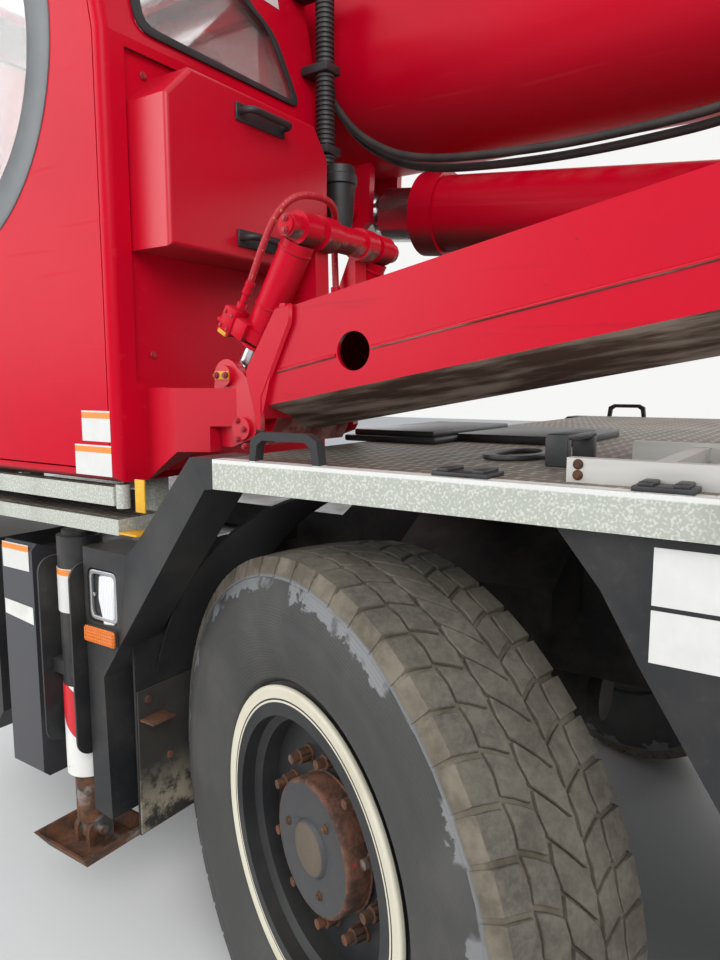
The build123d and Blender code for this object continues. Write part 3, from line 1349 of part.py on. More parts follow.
def cab_console():
    """The steering column with its wheel, the foot rest and the dashboard."""
    y = CAB_FRONT
    console = cuboid(CAB_INNER_X + 60, CAB_OUTER_X - 60, y + 120, y + 300, FLOOR, FLOOR + 60)
    column = [
        (y + 170, FLOOR + 59),
        (y + 300, FLOOR + 59),
        (y + 330, FLOOR + 560),
        (y + 260, FLOOR + 660),
        (y + 150, FLOOR + 560),
    ]
    console += slab_x(column, SEAT_X - 140, SEAT_X + 140, 20)
    hub = (y + 425, FLOOR + 765)
    console += rod_between(24, (y + 270, FLOOR + 520), hub, SEAT_X)
    place = Pos(SEAT_X, *hub) * Rot(-31, 0, 0)
    radius = STEERING_WHEEL_RADIUS
    console += place * Torus(radius, 15)
    console += place * Box(2 * radius, 34, 12)
    return console + place * Cylinder(48, 26)


save("cab_console", cab_console())


# Cab's rear: the service box, the bracket for the arm and the tilt rams, and the step.
CHEEK_X_OUTER = ARM_OUTER_X + 4
BRACKET_NEAR_EDGE = (1180, CAB_REAR + 187)
BRACKET_END = CAB_REAR + 305
BRACKET_LOW = 1497


def cab_cheek():
    """The side outline of a bracket cheek, with both of its pins' places."""
    front_y, front_z = ARM_FRONT_PIN
    low_y, low_z = TILT_LOW_PIN
    return [
        (CAB_REAR + 60, 1640),
        (CAB_REAR + 60, 1562),
        (low_y - 19, 1562),
        (low_y - 19, DECK_TOP + 8),
        (front_y - 36, DECK_TOP + 8),
        (front_y + 28, front_z - 22),
        (front_y + 38, front_z - 6),
        (front_y + 36, front_z + 20),
        (front_y + 26, front_z + 105),
        (low_y + 34, low_z + 18),
        (low_y - 34, low_z + 18),
        (low_y - 40, low_z - 30),
    ]


def bracket_skin():
    """The bracket's slanted outer box, whose lower corner is cut away at the pin."""
    near_x, near_y = BRACKET_NEAR_EDGE
    plan = [
        (CHEEK_X_OUTER - 1, CAB_REAR),
        (CHEEK_X_OUTER + 6, CAB_REAR),
        (near_x, near_y),
        (CHEEK_X_OUTER, BRACKET_END),
        (CHEEK_X_OUTER - 1, BRACKET_END),
    ]
    side = [
        (CAB_REAR - 1, BRACKET_LOW - 84),
        (near_y, BRACKET_LOW),
        (near_y + 65, BRACKET_LOW),
        (near_y + 65, BRACKET_LOW + 59),
        (BRACKET_END + 1, BRACKET_LOW + 59),
        (BRACKET_END + 1, 1643),
        (CAB_REAR - 1, 1643),
    ]
    return slab_z(plan, BRACKET_LOW - 90, 1650) & slab_x(side, CHEEK_X_OUTER - 5, near_x + 5)


def cab_rear():
    """The bracket behind the cab, the box above it and its handles."""
    wall = CAB_REAR
    box_side = [
        (CAB_INNER_X + 165, 1973),
        (CAB_OUTER_X - 70, 1973),
        (CAB_OUTER_X - 70, 2313),
        (CAB_OUTER_X - 148, 2390),
        (CAB_INNER_X + 228, 2390),
        (CAB_INNER_X + 165, 2310),
    ]
    face = wall + 130
    box = slab_y(box_side, wall - PANEL_DEPTH, face)
    box = fillet(box.faces().sort_by(Axis.Y)[-1].edges(), 12)
    for x, z in ((892, 2335), (895, 2026)):
        path = [(x, face - 2, z), (x, face + 44, z), (x - 163, face + 44, z), (x - 163, face - 2, z)]
        box += bow(path, 24, 9)
    bracket = slab_y(
        [
            (ARM_INNER_X - 23, 1534),
            (ARM_INNER_X + 84, 1534),
            (ARM_INNER_X + 84, 1440),
            (CHEEK_X_OUTER, 1440),
            (CHEEK_X_OUTER, 1645),
            (ARM_INNER_X - 23, 1645),
        ],
        wall,
        wall + 70,
    )
    for start in (ARM_INNER_X - 4, CHEEK_X_OUTER - 24):
        bracket += slab_x(cab_cheek(), start, start + 24)
        bracket += rod_x(38, start, start + 24, *TILT_LOW_PIN)
    bracket += bracket_skin()
    bracket += rod_x(ARM_FRONT_PIN_RADIUS, ARM_INNER_X - 3, ARM_OUTER_X + 14, *ARM_FRONT_PIN)
    for x0, x1 in ((ARM_INNER_X - 12, ARM_INNER_X - 3), (ARM_OUTER_X + 3, ARM_OUTER_X + 16)):
        bracket += rod_x(TILT_PIN_RADIUS, x0, x1, *TILT_LOW_PIN)
    return Compound([box, bracket])


save("cab_rear_fittings", cab_rear())


def cab_step():
    """The step along the cab's side, the door's rail above it and their hangers."""
    x1 = CAB_OUTER_X
    x0 = x1 - STEP_WIDTH
    y0, y1 = CAB_REAR - 1250, CAB_REAR - 10
    step = cuboid(x0, x1, y0, y1, STEP_TOP - 40, STEP_TOP)
    step -= cuboid(x0 + 6, x1 - 6, y0 + 6, y1 - 6, STEP_TOP - 41, STEP_TOP - 8)
    step += cuboid(x1 - 44, x1 - 4, y0 - 60, y1 - 20, STEP_TOP + 32, STEP_TOP + 80)
    step += rod_z(17, STEP_TOP + 26, STEP_TOP + 86, x1 - 24, y1 - 8)
    for y in (y0 + 50, (y0 + y1) / 2, y1 - 50):
        step += cuboid(x0 + 12, x0 + 60, y - 22, y + 22, STEP_TOP - 1, CAB_BOTTOM)
        step += cuboid(x0 + 12, x1 - 43, y - 22, y + 22, STEP_TOP + 68, CAB_BOTTOM)
    return step


STEP_WIDTH = 200
STEP_TOP = 1320
save("cab_step", cab_step())
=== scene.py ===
import math

import bpy
from mathutils import Matrix, Vector


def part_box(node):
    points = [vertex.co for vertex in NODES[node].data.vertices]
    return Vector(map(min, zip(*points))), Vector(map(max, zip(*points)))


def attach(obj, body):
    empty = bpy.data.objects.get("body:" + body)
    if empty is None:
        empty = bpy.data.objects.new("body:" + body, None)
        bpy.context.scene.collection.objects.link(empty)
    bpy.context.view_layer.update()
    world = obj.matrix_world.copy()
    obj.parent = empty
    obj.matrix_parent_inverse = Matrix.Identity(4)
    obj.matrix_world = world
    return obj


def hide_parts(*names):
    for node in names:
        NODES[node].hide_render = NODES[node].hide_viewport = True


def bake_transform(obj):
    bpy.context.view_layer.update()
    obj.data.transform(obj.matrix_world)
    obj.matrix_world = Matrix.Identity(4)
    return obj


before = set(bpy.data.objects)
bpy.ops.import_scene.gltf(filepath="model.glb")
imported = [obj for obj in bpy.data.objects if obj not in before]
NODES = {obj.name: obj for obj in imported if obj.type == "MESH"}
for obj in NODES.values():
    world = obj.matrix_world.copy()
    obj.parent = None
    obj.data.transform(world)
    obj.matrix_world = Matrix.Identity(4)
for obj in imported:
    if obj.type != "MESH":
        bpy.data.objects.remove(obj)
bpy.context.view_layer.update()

# The place where the crane is shown: a plain pale floor under soft studio lamps. The
# backdrop's colour comes from the world, and only the camera, glass and gloss see it.
FLOOR_SIZE = 60.0
FLOOR_COLOUR = (0.78, 0.78, 0.77, 1.0)
bpy.ops.object.select_all(action="DESELECT")
bpy.ops.mesh.primitive_plane_add(size=FLOOR_SIZE, location=(0, 0, 0))
floor = bpy.context.object
floor.name = "studio_floor"
floor_paint = bpy.data.materials.new("studio_floor")
floor_paint.use_nodes = True
floor_shader = floor_paint.node_tree.nodes["Principled BSDF"]
floor_shader.inputs["Base Color"].default_value = FLOOR_COLOUR
floor_shader.inputs["Roughness"].default_value = 0.9
floor.data.materials.append(floor_paint)

LAMPS = (
    # name, place, aimed at, size, watts
    ("key_lamp", (7.5, 4.5, 7.0), (0.8, -1.2, 1.2), 6.0, 620),
    ("fill_lamp", (6.5, -6.5, 4.5), (0.8, -1.5, 1.2), 6.0, 330),
    ("back_lamp", (-7.0, 3.0, 6.0), (0.0, 0.0, 1.5), 6.0, 420),
    ("front_lamp", (-5.0, -8.0, 5.0), (0.0, -1.0, 1.5), 6.0, 300),
)
for name, place, target, size, watts in LAMPS:
    bpy.ops.object.light_add(type="AREA", location=place)
    lamp = bpy.context.object
    lamp.name = name
    lamp.data.size = size
    lamp.data.energy = watts
    lamp.rotation_euler = (Vector(target) - Vector(place)).to_track_quat("-Z", "Y").to_euler()

world = bpy.data.worlds.new("studio")
bpy.context.scene.world = world
world.use_nodes = True
world_nodes = world.node_tree.nodes
world_links = world.node_tree.links
sky = world_nodes["Background"]
sky.inputs["Color"].default_value = (0.86, 0.9, 0.95, 1.0)
sky.inputs["Strength"].default_value = 0.62
backdrop = world_nodes.new("ShaderNodeBackground")
backdrop.inputs["Color"].default_value = (0.93, 0.93, 0.92, 1.0)
backdrop.inputs["Strength"].default_value = 1.0
rays = world_nodes.new("ShaderNodeLightPath")
seen = rays.outputs["Is Camera Ray"]
for kind in ("Is Transmission Ray", "Is Glossy Ray"):
    either = world_nodes.new("ShaderNodeMath")
    either.operation = "MAXIMUM"
    world_links.new(seen, either.inputs[0])
    world_links.new(rays.outputs[kind], either.inputs[1])
    seen = either.outputs[0]
choice = world_nodes.new("ShaderNodeMixShader")
for socket, source in enumerate((seen, sky.outputs[0], backdrop.outputs[0])):
    world_links.new(source, choice.inputs[socket])
world_links.new(choice.outputs[0], world_nodes["World Output"].inputs["Surface"])
bpy.context.scene.view_settings.view_transform = "Standard"

# The camera stands close to the front left wheel, a little above the deck's edge, as the
# photographer did. Its lens is given for a 36 mm sensor on the picture's long side.
CAMERA_PLACE = (2.338, -0.279, 1.651)
CAMERA_YAW = 34.1
CAMERA_PITCH = 7.42
CAMERA_LENS = 27.45
yaw, pitch = math.radians(CAMERA_YAW), math.radians(CAMERA_PITCH)
look = Vector(
    (-math.cos(yaw) * math.cos(pitch), -math.sin(yaw) * math.cos(pitch), -math.sin(pitch))
)
bpy.ops.object.camera_add(location=CAMERA_PLACE)
camera = bpy.context.object
camera.name = "photo_camera"
camera.rotation_euler = look.to_track_quat("-Z", "Y").to_euler()
camera.data.lens = CAMERA_LENS
camera.data.sensor_width = 36.0
camera.data.sensor_fit = "AUTO"
camera.data.clip_start = 0.05
camera.data.clip_end = 200.0
bpy.context.scene.camera = camera

# Red paint: two-layer gloss enamel over primed steel on the boom, the arm, the cab and
# the superstructure. It has road dust on what looks up, is darker brown on what looks
# down, and has fine scratches. It is sprayed on, so it has a faint orange-peel surface.


class Value:
    """A socket of one material; Python's operators on it add the material's Math nodes."""

    def __init__(self, tree, socket):
        self.tree = tree
        self.socket = socket

    def node(self, kind, settings, inputs, output=0):
        """Adds a node with its settings made first, then its sockets' values or links."""
        made = self.tree.nodes.new("ShaderNode" + kind)
        for name, setting in settings.items():
            setattr(made, name, setting)
        for name, given in inputs.items():
            socket = made.inputs[name]
            if isinstance(given, Value):
                self.tree.links.new(given.socket, socket)
            elif socket.type == "RGBA":
                socket.default_value = (*given, 1.0)
            else:
                socket.default_value = given
        return Value(self.tree, made.outputs[output])

    def maths(self, operation, *terms):
        """Adds one Math node on the given terms."""
        return self.node("Math", {"operation": operation}, dict(enumerate(terms)))

    def __add__(self, other):
        return self.maths("ADD", self, other)

    __radd__ = __add__

    def __sub__(self, other):
        return self.maths("SUBTRACT", self, other)

    def __rsub__(self, other):
        return self.maths("SUBTRACT", other, self)

    def __mul__(self, other):
        return self.maths("MULTIPLY", self, other)

    __rmul__ = __mul__

    def __gt__(self, other):
        return self.maths("GREATER_THAN", self, other)

    def __lt__(self, other):
        return self.maths("LESS_THAN", self, other)

    def __abs__(self):
        return self.maths("ABSOLUTE", self)

    def between(self, low, high):
        """0 below low, 1 above high, and a smooth step between them."""
        limits = {"Value": self, "From Min": low, "From Max": high}
        return self.node("MapRange", {"interpolation_type": "SMOOTHSTEP"}, limits)


class Finish(Value):
    """One material: its object coordinates, its patterns and its shader."""

    def __init__(self, name):
        self.material = bpy.data.materials.new(name)
        self.material.use_nodes = True
        tree = self.material.node_tree
        tree.nodes.clear()
        place = tree.nodes.new("ShaderNodeTexCoord")
        super().__init__(tree, place.outputs["Object"])
        self.facing = Value(tree, place.outputs["Normal"])

    def axis(self, letter, source=None):
        """X, Y or Z of the place, or of another vector."""
        given = {"Vector": source or self}
        return self.node("SeparateXYZ", {}, given, "XYZ".index(letter))

    def noise(self, scale, detail=3.0, stretch=(1.0, 1.0, 1.0), rough=0.55):
        """A cloudy pattern from 0 to 1."""
        mapped = self.node("Mapping", {}, {"Vector": self, "Scale": stretch})
        knobs = {"Vector": mapped, "Scale": scale, "Detail": detail, "Roughness": rough}
        return self.node("TexNoise", {}, knobs)

    def cells(self, scale):
        """The distance in a pattern of cells."""
        mapped = self.node("Mapping", {}, {"Vector": self, "Scale": (1.0, 1.0, 1.0)})
        return self.node("TexVoronoi", {"feature": "F1"}, {"Vector": mapped, "Scale": scale})

    def blend(self, factor, first, second):
        """One colour where the factor is 0 and the other where it is 1."""
        mix = {"data_type": "RGBA"}
        return self.node("Mix", mix, {0: factor, 6: first, 7: second}, 2)

    def bump(self, height, distance, strength=1.0):
        """A bumped normal from a height pattern, with its depth in metres."""
        given = {"Height": height, "Distance": distance, "Strength": strength}
        return self.node("Bump", {}, given)

    def shade(self, **sockets):
        """The shader and the output; socket names have _ for their spaces."""
        named = {name.replace("_", " "): given for name, given in sockets.items()}
        surface = self.node("BsdfPrincipled", {}, named)
        output = self.tree.nodes.new("ShaderNodeOutputMaterial")
        self.tree.links.new(surface.socket, output.inputs["Surface"])
        return self.material


def darker_below(paint, low=-0.35, high=-0.8):
    """1 on faces that look down, which the paints make darker, and 0 elsewhere."""
    return paint.axis("Z", paint.facing).between(low, high)


def dust_above(paint):
    """1 on faces that look up, where dust settles."""
    return paint.axis("Z", paint.facing).between(0.4, 0.95)


RED = (0.55, 0.001, 0.018)
RED_FADED = (0.45, 0.006, 0.022)
# The dark brown towards which faces that look down are darkened.
DARK_BELOW = (0.045, 0.038, 0.03)
ROAD_DUST = (0.33, 0.28, 0.22)


def faded_red(paint):
    """The clouds in which the red has faded, and its colour with them."""
    clouds = paint.noise(2.2, 5.0)
    return clouds, paint.blend(clouds.between(0.3, 0.75) * 0.5, RED, RED_FADED)


def orange_peel(paint):
    """The faint waves of a sprayed surface."""
    return paint.bump(paint.noise(260.0, 1.0), 0.00035, 0.35)


def red_enamel(name, dirt=1.0):
    """The crane's red paint; dirt scales how much darker its faces that look down get."""
    paint = Finish(name)
    clouds, colour = faded_red(paint)
    scratches = paint.noise(30.0, 2.0, (1.0, 0.06, 1.6)).between(0.66, 0.72)
    stains = paint.noise(9.0, 6.0, (1.0, 0.35, 1.0), 0.7)
    # Faces that look down are darkened towards dark brown, more where the stains are.
    below = darker_below(paint) * (0.35 + stains * 0.9) * dirt
    below = below.maths("MINIMUM", below, 1.0)
    dust = dust_above(paint) * paint.noise(14.0, 5.0).between(0.35, 0.75) * 0.16
    colour = paint.blend(scratches * 0.08, colour, (0.6, 0.09, 0.1))
    colour = paint.blend(dust, colour, ROAD_DUST)
    colour = paint.blend(below, colour, DARK_BELOW)
    rough = 0.24 + clouds * 0.14 + scratches * 0.15 + dust * 0.9 + below * 0.4
    return paint.shade(
        Base_Color=colour,
        Roughness=rough,
        Specular_IOR_Level=0.1,
        Normal=orange_peel(paint),
    )


def dress(piece, material):
    """Gives a piece one material and no other."""
    piece.data.materials.clear()
    piece.data.materials.append(material)


def paint_nodes(material, *names):
    """Gives CAD nodes, by the start of their names, one material."""
    for node_name, node in NODES.items():
        if node_name.startswith(names):
            dress(node, material)
            node.select_set(False)


red_paint = red_enamel("red_enamel")
paint_nodes(red_paint, "cab_shell", "cab_door", "turntable")
paint_nodes(red_enamel("red_enamel_boom", 0.25), "boom_")
paint_nodes(red_paint, "tilt_ram_barrels", "luff_ram_barrel", "cab_rear_fittings")


def worn_arm_red():
    """The arm's red: drag marks along its sides, and faces that look down turned dark brown with
    pale patches.
    """
    paint = Finish("red_enamel_arm")
    clouds, colour = faded_red(paint)
    drag = paint.noise(16.0, 4.0, (1.0, 0.10, 1.3), 0.6)
    nicks = paint.noise(48.0, 4.0, (1.0, 0.5, 1.0), 0.7).between(0.70, 0.74)
    below = darker_below(paint, -0.25, -0.6)
    colour = paint.blend(drag.between(0.62, 0.72) * 0.25, colour, (0.16, 0.006, 0.012))
    colour = paint.blend(nicks * 0.6, colour, (0.05, 0.02, 0.02))
    # Faces that look down turn dark brown, with pale patches where the drag pattern is strong.
    keel = paint.blend(drag.between(0.42, 0.66), (0.085, 0.062, 0.048), (0.42, 0.36, 0.30))
    colour = paint.blend(below * 0.96, colour, keel)
    return paint.shade(
        Base_Color=colour,
        Roughness=0.26 + clouds * 0.14 + below * 0.4,
        Specular_IOR_Level=0.2,
        Normal=orange_peel(paint),
    )


arm_paint = worn_arm_red()
paint_nodes(arm_paint, "cab_arm")

# Black paint: the fenders, bumpers, side boxes and outrigger beams are steel, powder
# coated black, and greyed by dust in their corners and scuffed on their edges.
BLACK = (0.010, 0.0105, 0.012)
BLACK_WORN = (0.030, 0.031, 0.033)


def black_coat(name, dusty):
    """Black powder coat; dusty is how much road dust lies on it."""
    paint = Finish(name)
    clouds = paint.noise(3.1, 6.0, rough=0.65)
    specks = paint.noise(55.0, 3.0).between(0.55, 0.8)
    dust = (clouds.between(0.4, 0.8) * 0.5 + specks * 0.25 + dust_above(paint) * 0.5) * dusty
    colour = paint.blend(clouds, BLACK, BLACK_WORN)
    colour = paint.blend(dust, colour, ROAD_DUST)
    grain = paint.noise(420.0, 2.0)
    return paint.shade(
        Base_Color=colour,
        Roughness=0.42 + dust * 0.7,
        Specular_IOR_Level=0.3,
        Normal=paint.bump(grain, 0.0004, 0.4),
    )


black_paint = black_coat("black_powder_coat", 0.2)
paint_nodes(black_paint, "front_fenders", "front_bumper", "rear_bumper", "outrigger_beam")
panel_paint = black_coat("black_side_panel", 0.15)
paint_nodes(panel_paint, "side_boxes")

# Running gear: the frame, axles, struts and knuckles are black chassis paint under a
# crust of dried road mud, which is thicker low down.
MUD = (0.1, 0.082, 0.062)


def muddy_black(name, amount):
    """Chassis paint with dried mud; amount is how much of it shows."""
    paint = Finish(name)
    crust = paint.noise(7.0, 8.0, rough=0.7)
    low_down = 1.0 - paint.axis("Z").between(0.4, 1.3)
    mud = (crust.between(0.42, 0.62) * 0.6 + low_down * 0.35) * amount
    colour = paint.blend(mud, (0.014, 0.014, 0.015), MUD)
    return paint.shade(
        Base_Color=colour,
        Roughness=0.55 + mud * 0.4,
        Normal=paint.bump(crust, 0.004, 0.6),
    )


chassis_paint = muddy_black("chassis_black", 0.7)
paint_nodes(chassis_paint, "chassis_frame", "axle_beams", "knuckle", "engine_block")

# Ballast: the counterweight is cast iron in grey paint.
grey_paint = Finish("counterweight_grey")
grey_clouds = grey_paint.noise(4.0, 5.0)
grey_colour = grey_paint.blend(grey_clouds, (0.045, 0.047, 0.05), (0.075, 0.077, 0.08))
cast_skin = grey_paint.noise(60.0, 4.0)
counterweight_paint = grey_paint.shade(
    Base_Color=grey_paint.blend(dust_above(grey_paint) * 0.35, grey_colour, ROAD_DUST),
    Roughness=0.45 + grey_clouds * 0.2,
    Normal=grey_paint.bump(cast_skin, 0.001, 0.5),
)
paint_nodes(counterweight_paint, "counterweight")

# Ram rods: hard chrome with a thin film of oil.
chrome = Finish("ram_chrome")
film = chrome.noise(18.0, 3.0, (1.0, 0.2, 1.0))
rod_chrome = chrome.shade(
    Base_Color=chrome.blend(film, (0.55, 0.55, 0.56), (0.42, 0.41, 0.4)),
    Metallic=1.0,
    Roughness=0.16 + film * 0.2,
)
paint_nodes(rod_chrome, "luff_ram_rod", "tilt_ram_rods")

# Bare steel: the winch drum and the jacks' rods and feet have a brown skin of rust with
# bright worn places.
RUST = (0.16, 0.062, 0.026)
DARK_RUST = (0.05, 0.028, 0.018)
BARE_STEEL = (0.33, 0.32, 0.31)


def rusty_steel(name, bright):
    """Rusty steel; bright is how much bare metal shows."""
    steel = Finish(name)
    scale = steel.noise(22.0, 7.0, rough=0.7)
    rust = steel.blend(scale.between(0.35, 0.65), DARK_RUST, RUST)
    worn = steel.noise(9.0, 4.0).between(0.62 - bright * 0.3, 0.75 - bright * 0.3)
    colour = steel.blend(worn, rust, BARE_STEEL)
    return steel.shade(
        Base_Color=colour,
        Metallic=worn * 0.8,
        Roughness=0.85 - worn * 0.45,
        Normal=steel.bump(scale, 0.002, 0.6),
    )


foot_steel = rusty_steel("foot_steel", 0.35)
paint_nodes(foot_steel, "outrigger_jack", "winch_drum")

# The hook block is painted yellow-orange, with worn edges.
hook_paint = Finish("hook_block_yellow")
chips = hook_paint.noise(26.0, 5.0).between(0.6, 0.66)
hook_colour = hook_paint.blend(chips, (0.62, 0.3, 0.02), DARK_RUST)
hook_yellow = hook_paint.shade(Base_Color=hook_colour, Roughness=0.45 + chips * 0.35)
paint_nodes(hook_yellow, "hook_block")

# Deck: aluminium tread plate, dulled and browned by boots, with a speckled edge band and
# a pale lip round its top edge, partly wear and partly a painted highlight. Its raised
# bars stand in pairs, turned one way and then the other.
TREAD_PITCH = 0.034


def tread_bars(metal):
    """Raised bars in a basket pattern on faces that look up."""
    x = metal.axis("X") * (1.0 / TREAD_PITCH)
    y = metal.axis("Y") * (1.0 / TREAD_PITCH)
    cell_x, cell_y = x.maths("FLOOR", x), y.maths("FLOOR", y)
    across = x.maths("PINGPONG", cell_x + cell_y, 1.0)
    u = abs(x - cell_x - 0.5)
    v = abs(y - cell_y - 0.5)
    long_side = u * across + v * (1.0 - across)
    short_side = v * across + u * (1.0 - across)
    return (1.0 - long_side.between(0.36, 0.44)) * (1.0 - short_side.between(0.1, 0.17))


plate = Finish("deck_tread_plate")
up = plate.axis("Z", plate.facing).between(0.7, 0.9)
bars = tread_bars(plate) * up
dirt = plate.noise(5.0, 7.0, rough=0.65)
trodden = plate.noise(1.4, 4.0).between(0.3, 0.7)
plate_brown = plate.blend(dirt.between(0.3, 0.7), (0.07, 0.056, 0.042), (0.17, 0.14, 0.105))
plate_bare = plate.blend(dirt, (0.24, 0.22, 0.19), (0.42, 0.4, 0.36))
plate_top = plate.blend(bars * 0.75 + trodden * 0.15, plate_brown, plate_bare)
specks = plate.noise(210.0, 2.0).between(0.5, 0.62)
band_colour = plate.blend(specks, (0.43, 0.45, 0.4), (0.6, 0.61, 0.56))
streaks = plate.noise(3.0, 6.0, (1.0, 1.0, 0.2)).between(0.55, 0.75)
band_colour = plate.blend(streaks * 0.45, band_colour, (0.2, 0.19, 0.15))
# The pale lip at the top of the deck's edge face is partly wear and partly a painted highlight
# where the edge catches the light.
lip_wear_and_highlight = plate.axis("Z").between(1.4905, 1.4935) * (1.0 - up)
band_colour = plate.blend(lip_wear_and_highlight * 0.8, band_colour, (0.75, 0.75, 0.72))
plate_colour = plate.blend(up, band_colour, plate_top)
# The pale strip along the outer edge of the deck's top is partly wear and partly a painted
# highlight, and it is not metallic.
edge_wear_and_highlight = abs(plate.axis("X")).between(1.2415, 1.2425) * up * (0.75 + dirt * 0.25)
plate_colour = plate.blend(edge_wear_and_highlight, plate_colour, (0.66, 0.66, 0.63))
handle = plate.axis("Z").between(1.5005, 1.5015)
deck_metal = plate.shade(
    Base_Color=plate.blend(handle, plate_colour, (0.016, 0.017, 0.018)),
    Metallic=(0.35 + bars * 0.25) * (1.0 - handle) * (1.0 - edge_wear_and_highlight),
    Roughness=0.62 - bars * 0.14 + dirt * 0.12,
    Normal=plate.bump(bars + dirt * 0.12, 0.003, 0.9),
)
paint_nodes(deck_metal, "deck", "cab_step")

# Ladder: drawn aluminium, matt and scratched.
bright = Finish("ladder_aluminium")
brushed = bright.noise(40.0, 4.0, (1.0, 0.08, 1.0))
ladder_metal = bright.shade(
    Base_Color=bright.blend(brushed, (0.5, 0.49, 0.46), (0.68, 0.67, 0.64)),
    Metallic=0.7,
    Roughness=0.38 + brushed * 0.25,
    Normal=bright.bump(brushed, 0.0006, 0.4),
)
paint_nodes(ladder_metal, "deck_ladder")

# Glazing: tinted safety glass with a thin grey haze of dust.
pane = Finish("cab_glass")
haze = pane.noise(2.0, 4.0)
cab_glass = pane.shade(
    Base_Color=(0.62, 0.7, 0.68),
    Roughness=0.03 + haze * 0.05,
    Transmission_Weight=0.92,
    IOR=1.45,
    Alpha=0.55,
)
paint_nodes(cab_glass, "cab_glass")

# The driver's place: a woven seat cover, and moulded dark plastic for the console.
cloth = Finish("seat_cloth")
weave = cloth.noise(330.0, 2.0, (1.0, 1.0, 0.4))
seat_cloth = cloth.shade(
    Base_Color=cloth.blend(weave, (0.02, 0.021, 0.024), (0.07, 0.072, 0.08)),
    Roughness=0.9,
    Normal=cloth.bump(weave, 0.002, 0.6),
)
paint_nodes(seat_cloth, "cab_seat")
moulded = Finish("console_plastic")
leather_grain = moulded.cells(190.0)
console_plastic = moulded.shade(
    Base_Color=(0.035, 0.036, 0.038),
    Roughness=0.5,
    Normal=moulded.bump(leather_grain, 0.0006, 0.5),
)
paint_nodes(console_plastic, "cab_console")

# Tyres: black rubber greyed by road dust, darker in the grooves, with an abraded paler
# band where the wall meets the tread.
WHEELS = []
for axle in (1, 2, 3):
    for side in ("left", "right"):
        low, high = (Vector(corner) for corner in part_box(f"tyre_{axle}_{side}"))
        WHEELS.append((axle, side, (low + high) / 2))
STEERED = (21.4, 9.5, 0.0)
TYRE_RADIUS = 0.650
TREAD_FLOOR = 0.637
TREAD_PITCHES = 52
BEAD_RADIUS = 0.3186
TYRE_PROFILE = (
    # across from the tyre's middle, from the axle
    (0.120, BEAD_RADIUS),
    (0.1235, 0.345),
    (0.1245, 0.3605),
    (0.131, 0.3665),
    (0.142, 0.3735),
    (0.1435, 0.3765),
    (0.1535, 0.394),
    (0.1655, 0.418),
    (0.1665, 0.4215),
    (0.1735, 0.447),
    (0.1790, 0.485),
    (0.1795, 0.505),
    (0.1788, 0.508),
    (0.1785, 0.530),
    (0.1793, 0.533),
    (0.1740, 0.562),
    (0.1690, 0.580),
    (0.1655, 0.588),
    (0.1600, 0.606),
    (0.1530, 0.624),
    (0.1430, 0.633),
    (0.1100, TREAD_FLOOR),
    (0.0500, TREAD_FLOOR + 0.001),
)


def start_edit():
    """Enters edit mode with the whole mesh selected."""
    bpy.ops.object.mode_set(mode="EDIT")
    bpy.ops.mesh.select_all(action="SELECT")


def end_edit():
    """Leaves edit mode and returns the active object."""
    bpy.ops.object.mode_set(mode="OBJECT")
    return bpy.context.object


def face_outwards():
    """Turns every face of the active piece outwards."""
    start_edit()
    bpy.ops.mesh.normals_make_consistent(inside=False)
    return end_edit()


def only(piece):
    """Selects one piece alone and makes it the active one."""
    bpy.ops.object.select_all(action="DESELECT")
    piece.select_set(True)
    bpy.context.view_layer.objects.active = piece


def lathe(name, profile, steps):
    """A closed form turned about the X axis from a loop of (along X, radius)."""
    bpy.ops.object.select_all(action="DESELECT")
    bpy.ops.mesh.primitive_circle_add(vertices=len(profile), radius=1)
    turned = bpy.context.object
    turned.name = name
    for vertex, (x, radius) in zip(turned.data.vertices, profile):
        vertex.co = (x, 0.0, radius)
    start_edit()
    bpy.ops.mesh.spin(steps=steps, angle=2 * math.pi, center=(0, 0, 0), axis=(1, 0, 0))
    bpy.ops.mesh.select_all(action="SELECT")
    bpy.ops.mesh.remove_doubles(threshold=0.00002)
    bpy.ops.mesh.select_all(action="SELECT")
    bpy.ops.mesh.dissolve_degenerate(threshold=0.00001)
    return face_outwards()


def smooth(piece, degrees=35):
    """Shades a piece smooth up to an angle between its faces."""
    only(piece)
    bpy.ops.object.shade_smooth_by_angle(angle=math.radians(degrees))
    return piece


def join(name, pieces):
    """Joins pieces into the first of them."""
    bpy.ops.object.select_all(action="DESELECT")
    for piece in pieces:
        piece.select_set(True)
    bpy.context.view_layer.objects.active = pieces[0]
    bpy.ops.object.join()
    pieces[0].name = name
    return pieces[0]


def copy_to(piece, name, matrix):
    """A copy with its own mesh, moved by a matrix in its mesh."""
    twin = piece.copy()
    twin.data = piece.data.copy()
    twin.name = name
    bpy.context.collection.objects.link(twin)
    twin.data.transform(matrix)
    return twin


def dispose(piece):
    """Removes a model piece that was only copied."""
    bpy.data.objects.remove(piece)


CROWN_DROP = 0.0085
TREAD_HALF = 0.150
SHOULDER = 0.149
OUTER_BLOCK = (
    (0.0985, 0.16),
    (0.1235, 0.10),
    (0.1500, 0.06),
    (0.1500, 0.93),
    (0.1235, 0.97),
    (0.0965, 1.03),
    (0.0925, 0.60),
)
LEFT_BLOCK = (0.0400, 0.0660, 0.0900, 0.0860, 0.0905, 0.0660, 0.0410, 0.0350)
RIGHT_BLOCK = (-0.0410, -0.0660, -0.0900, -0.0860, -0.0905, -0.0660, -0.0410, -0.0455)
BLOCK_PITCH = (0.42, 0.22, 0.08, 0.50, 0.94, 1.09, 1.28, 0.86)
MIDDLE_BLOCK = (-0.0320, -0.0040, 0.0280, 0.0335, 0.0280, -0.0020, -0.0320, -0.0375)
MIDDLE_PITCH = (0.98, 0.52, 0.10, 0.52, 0.99, 1.40, 1.84, 1.40)
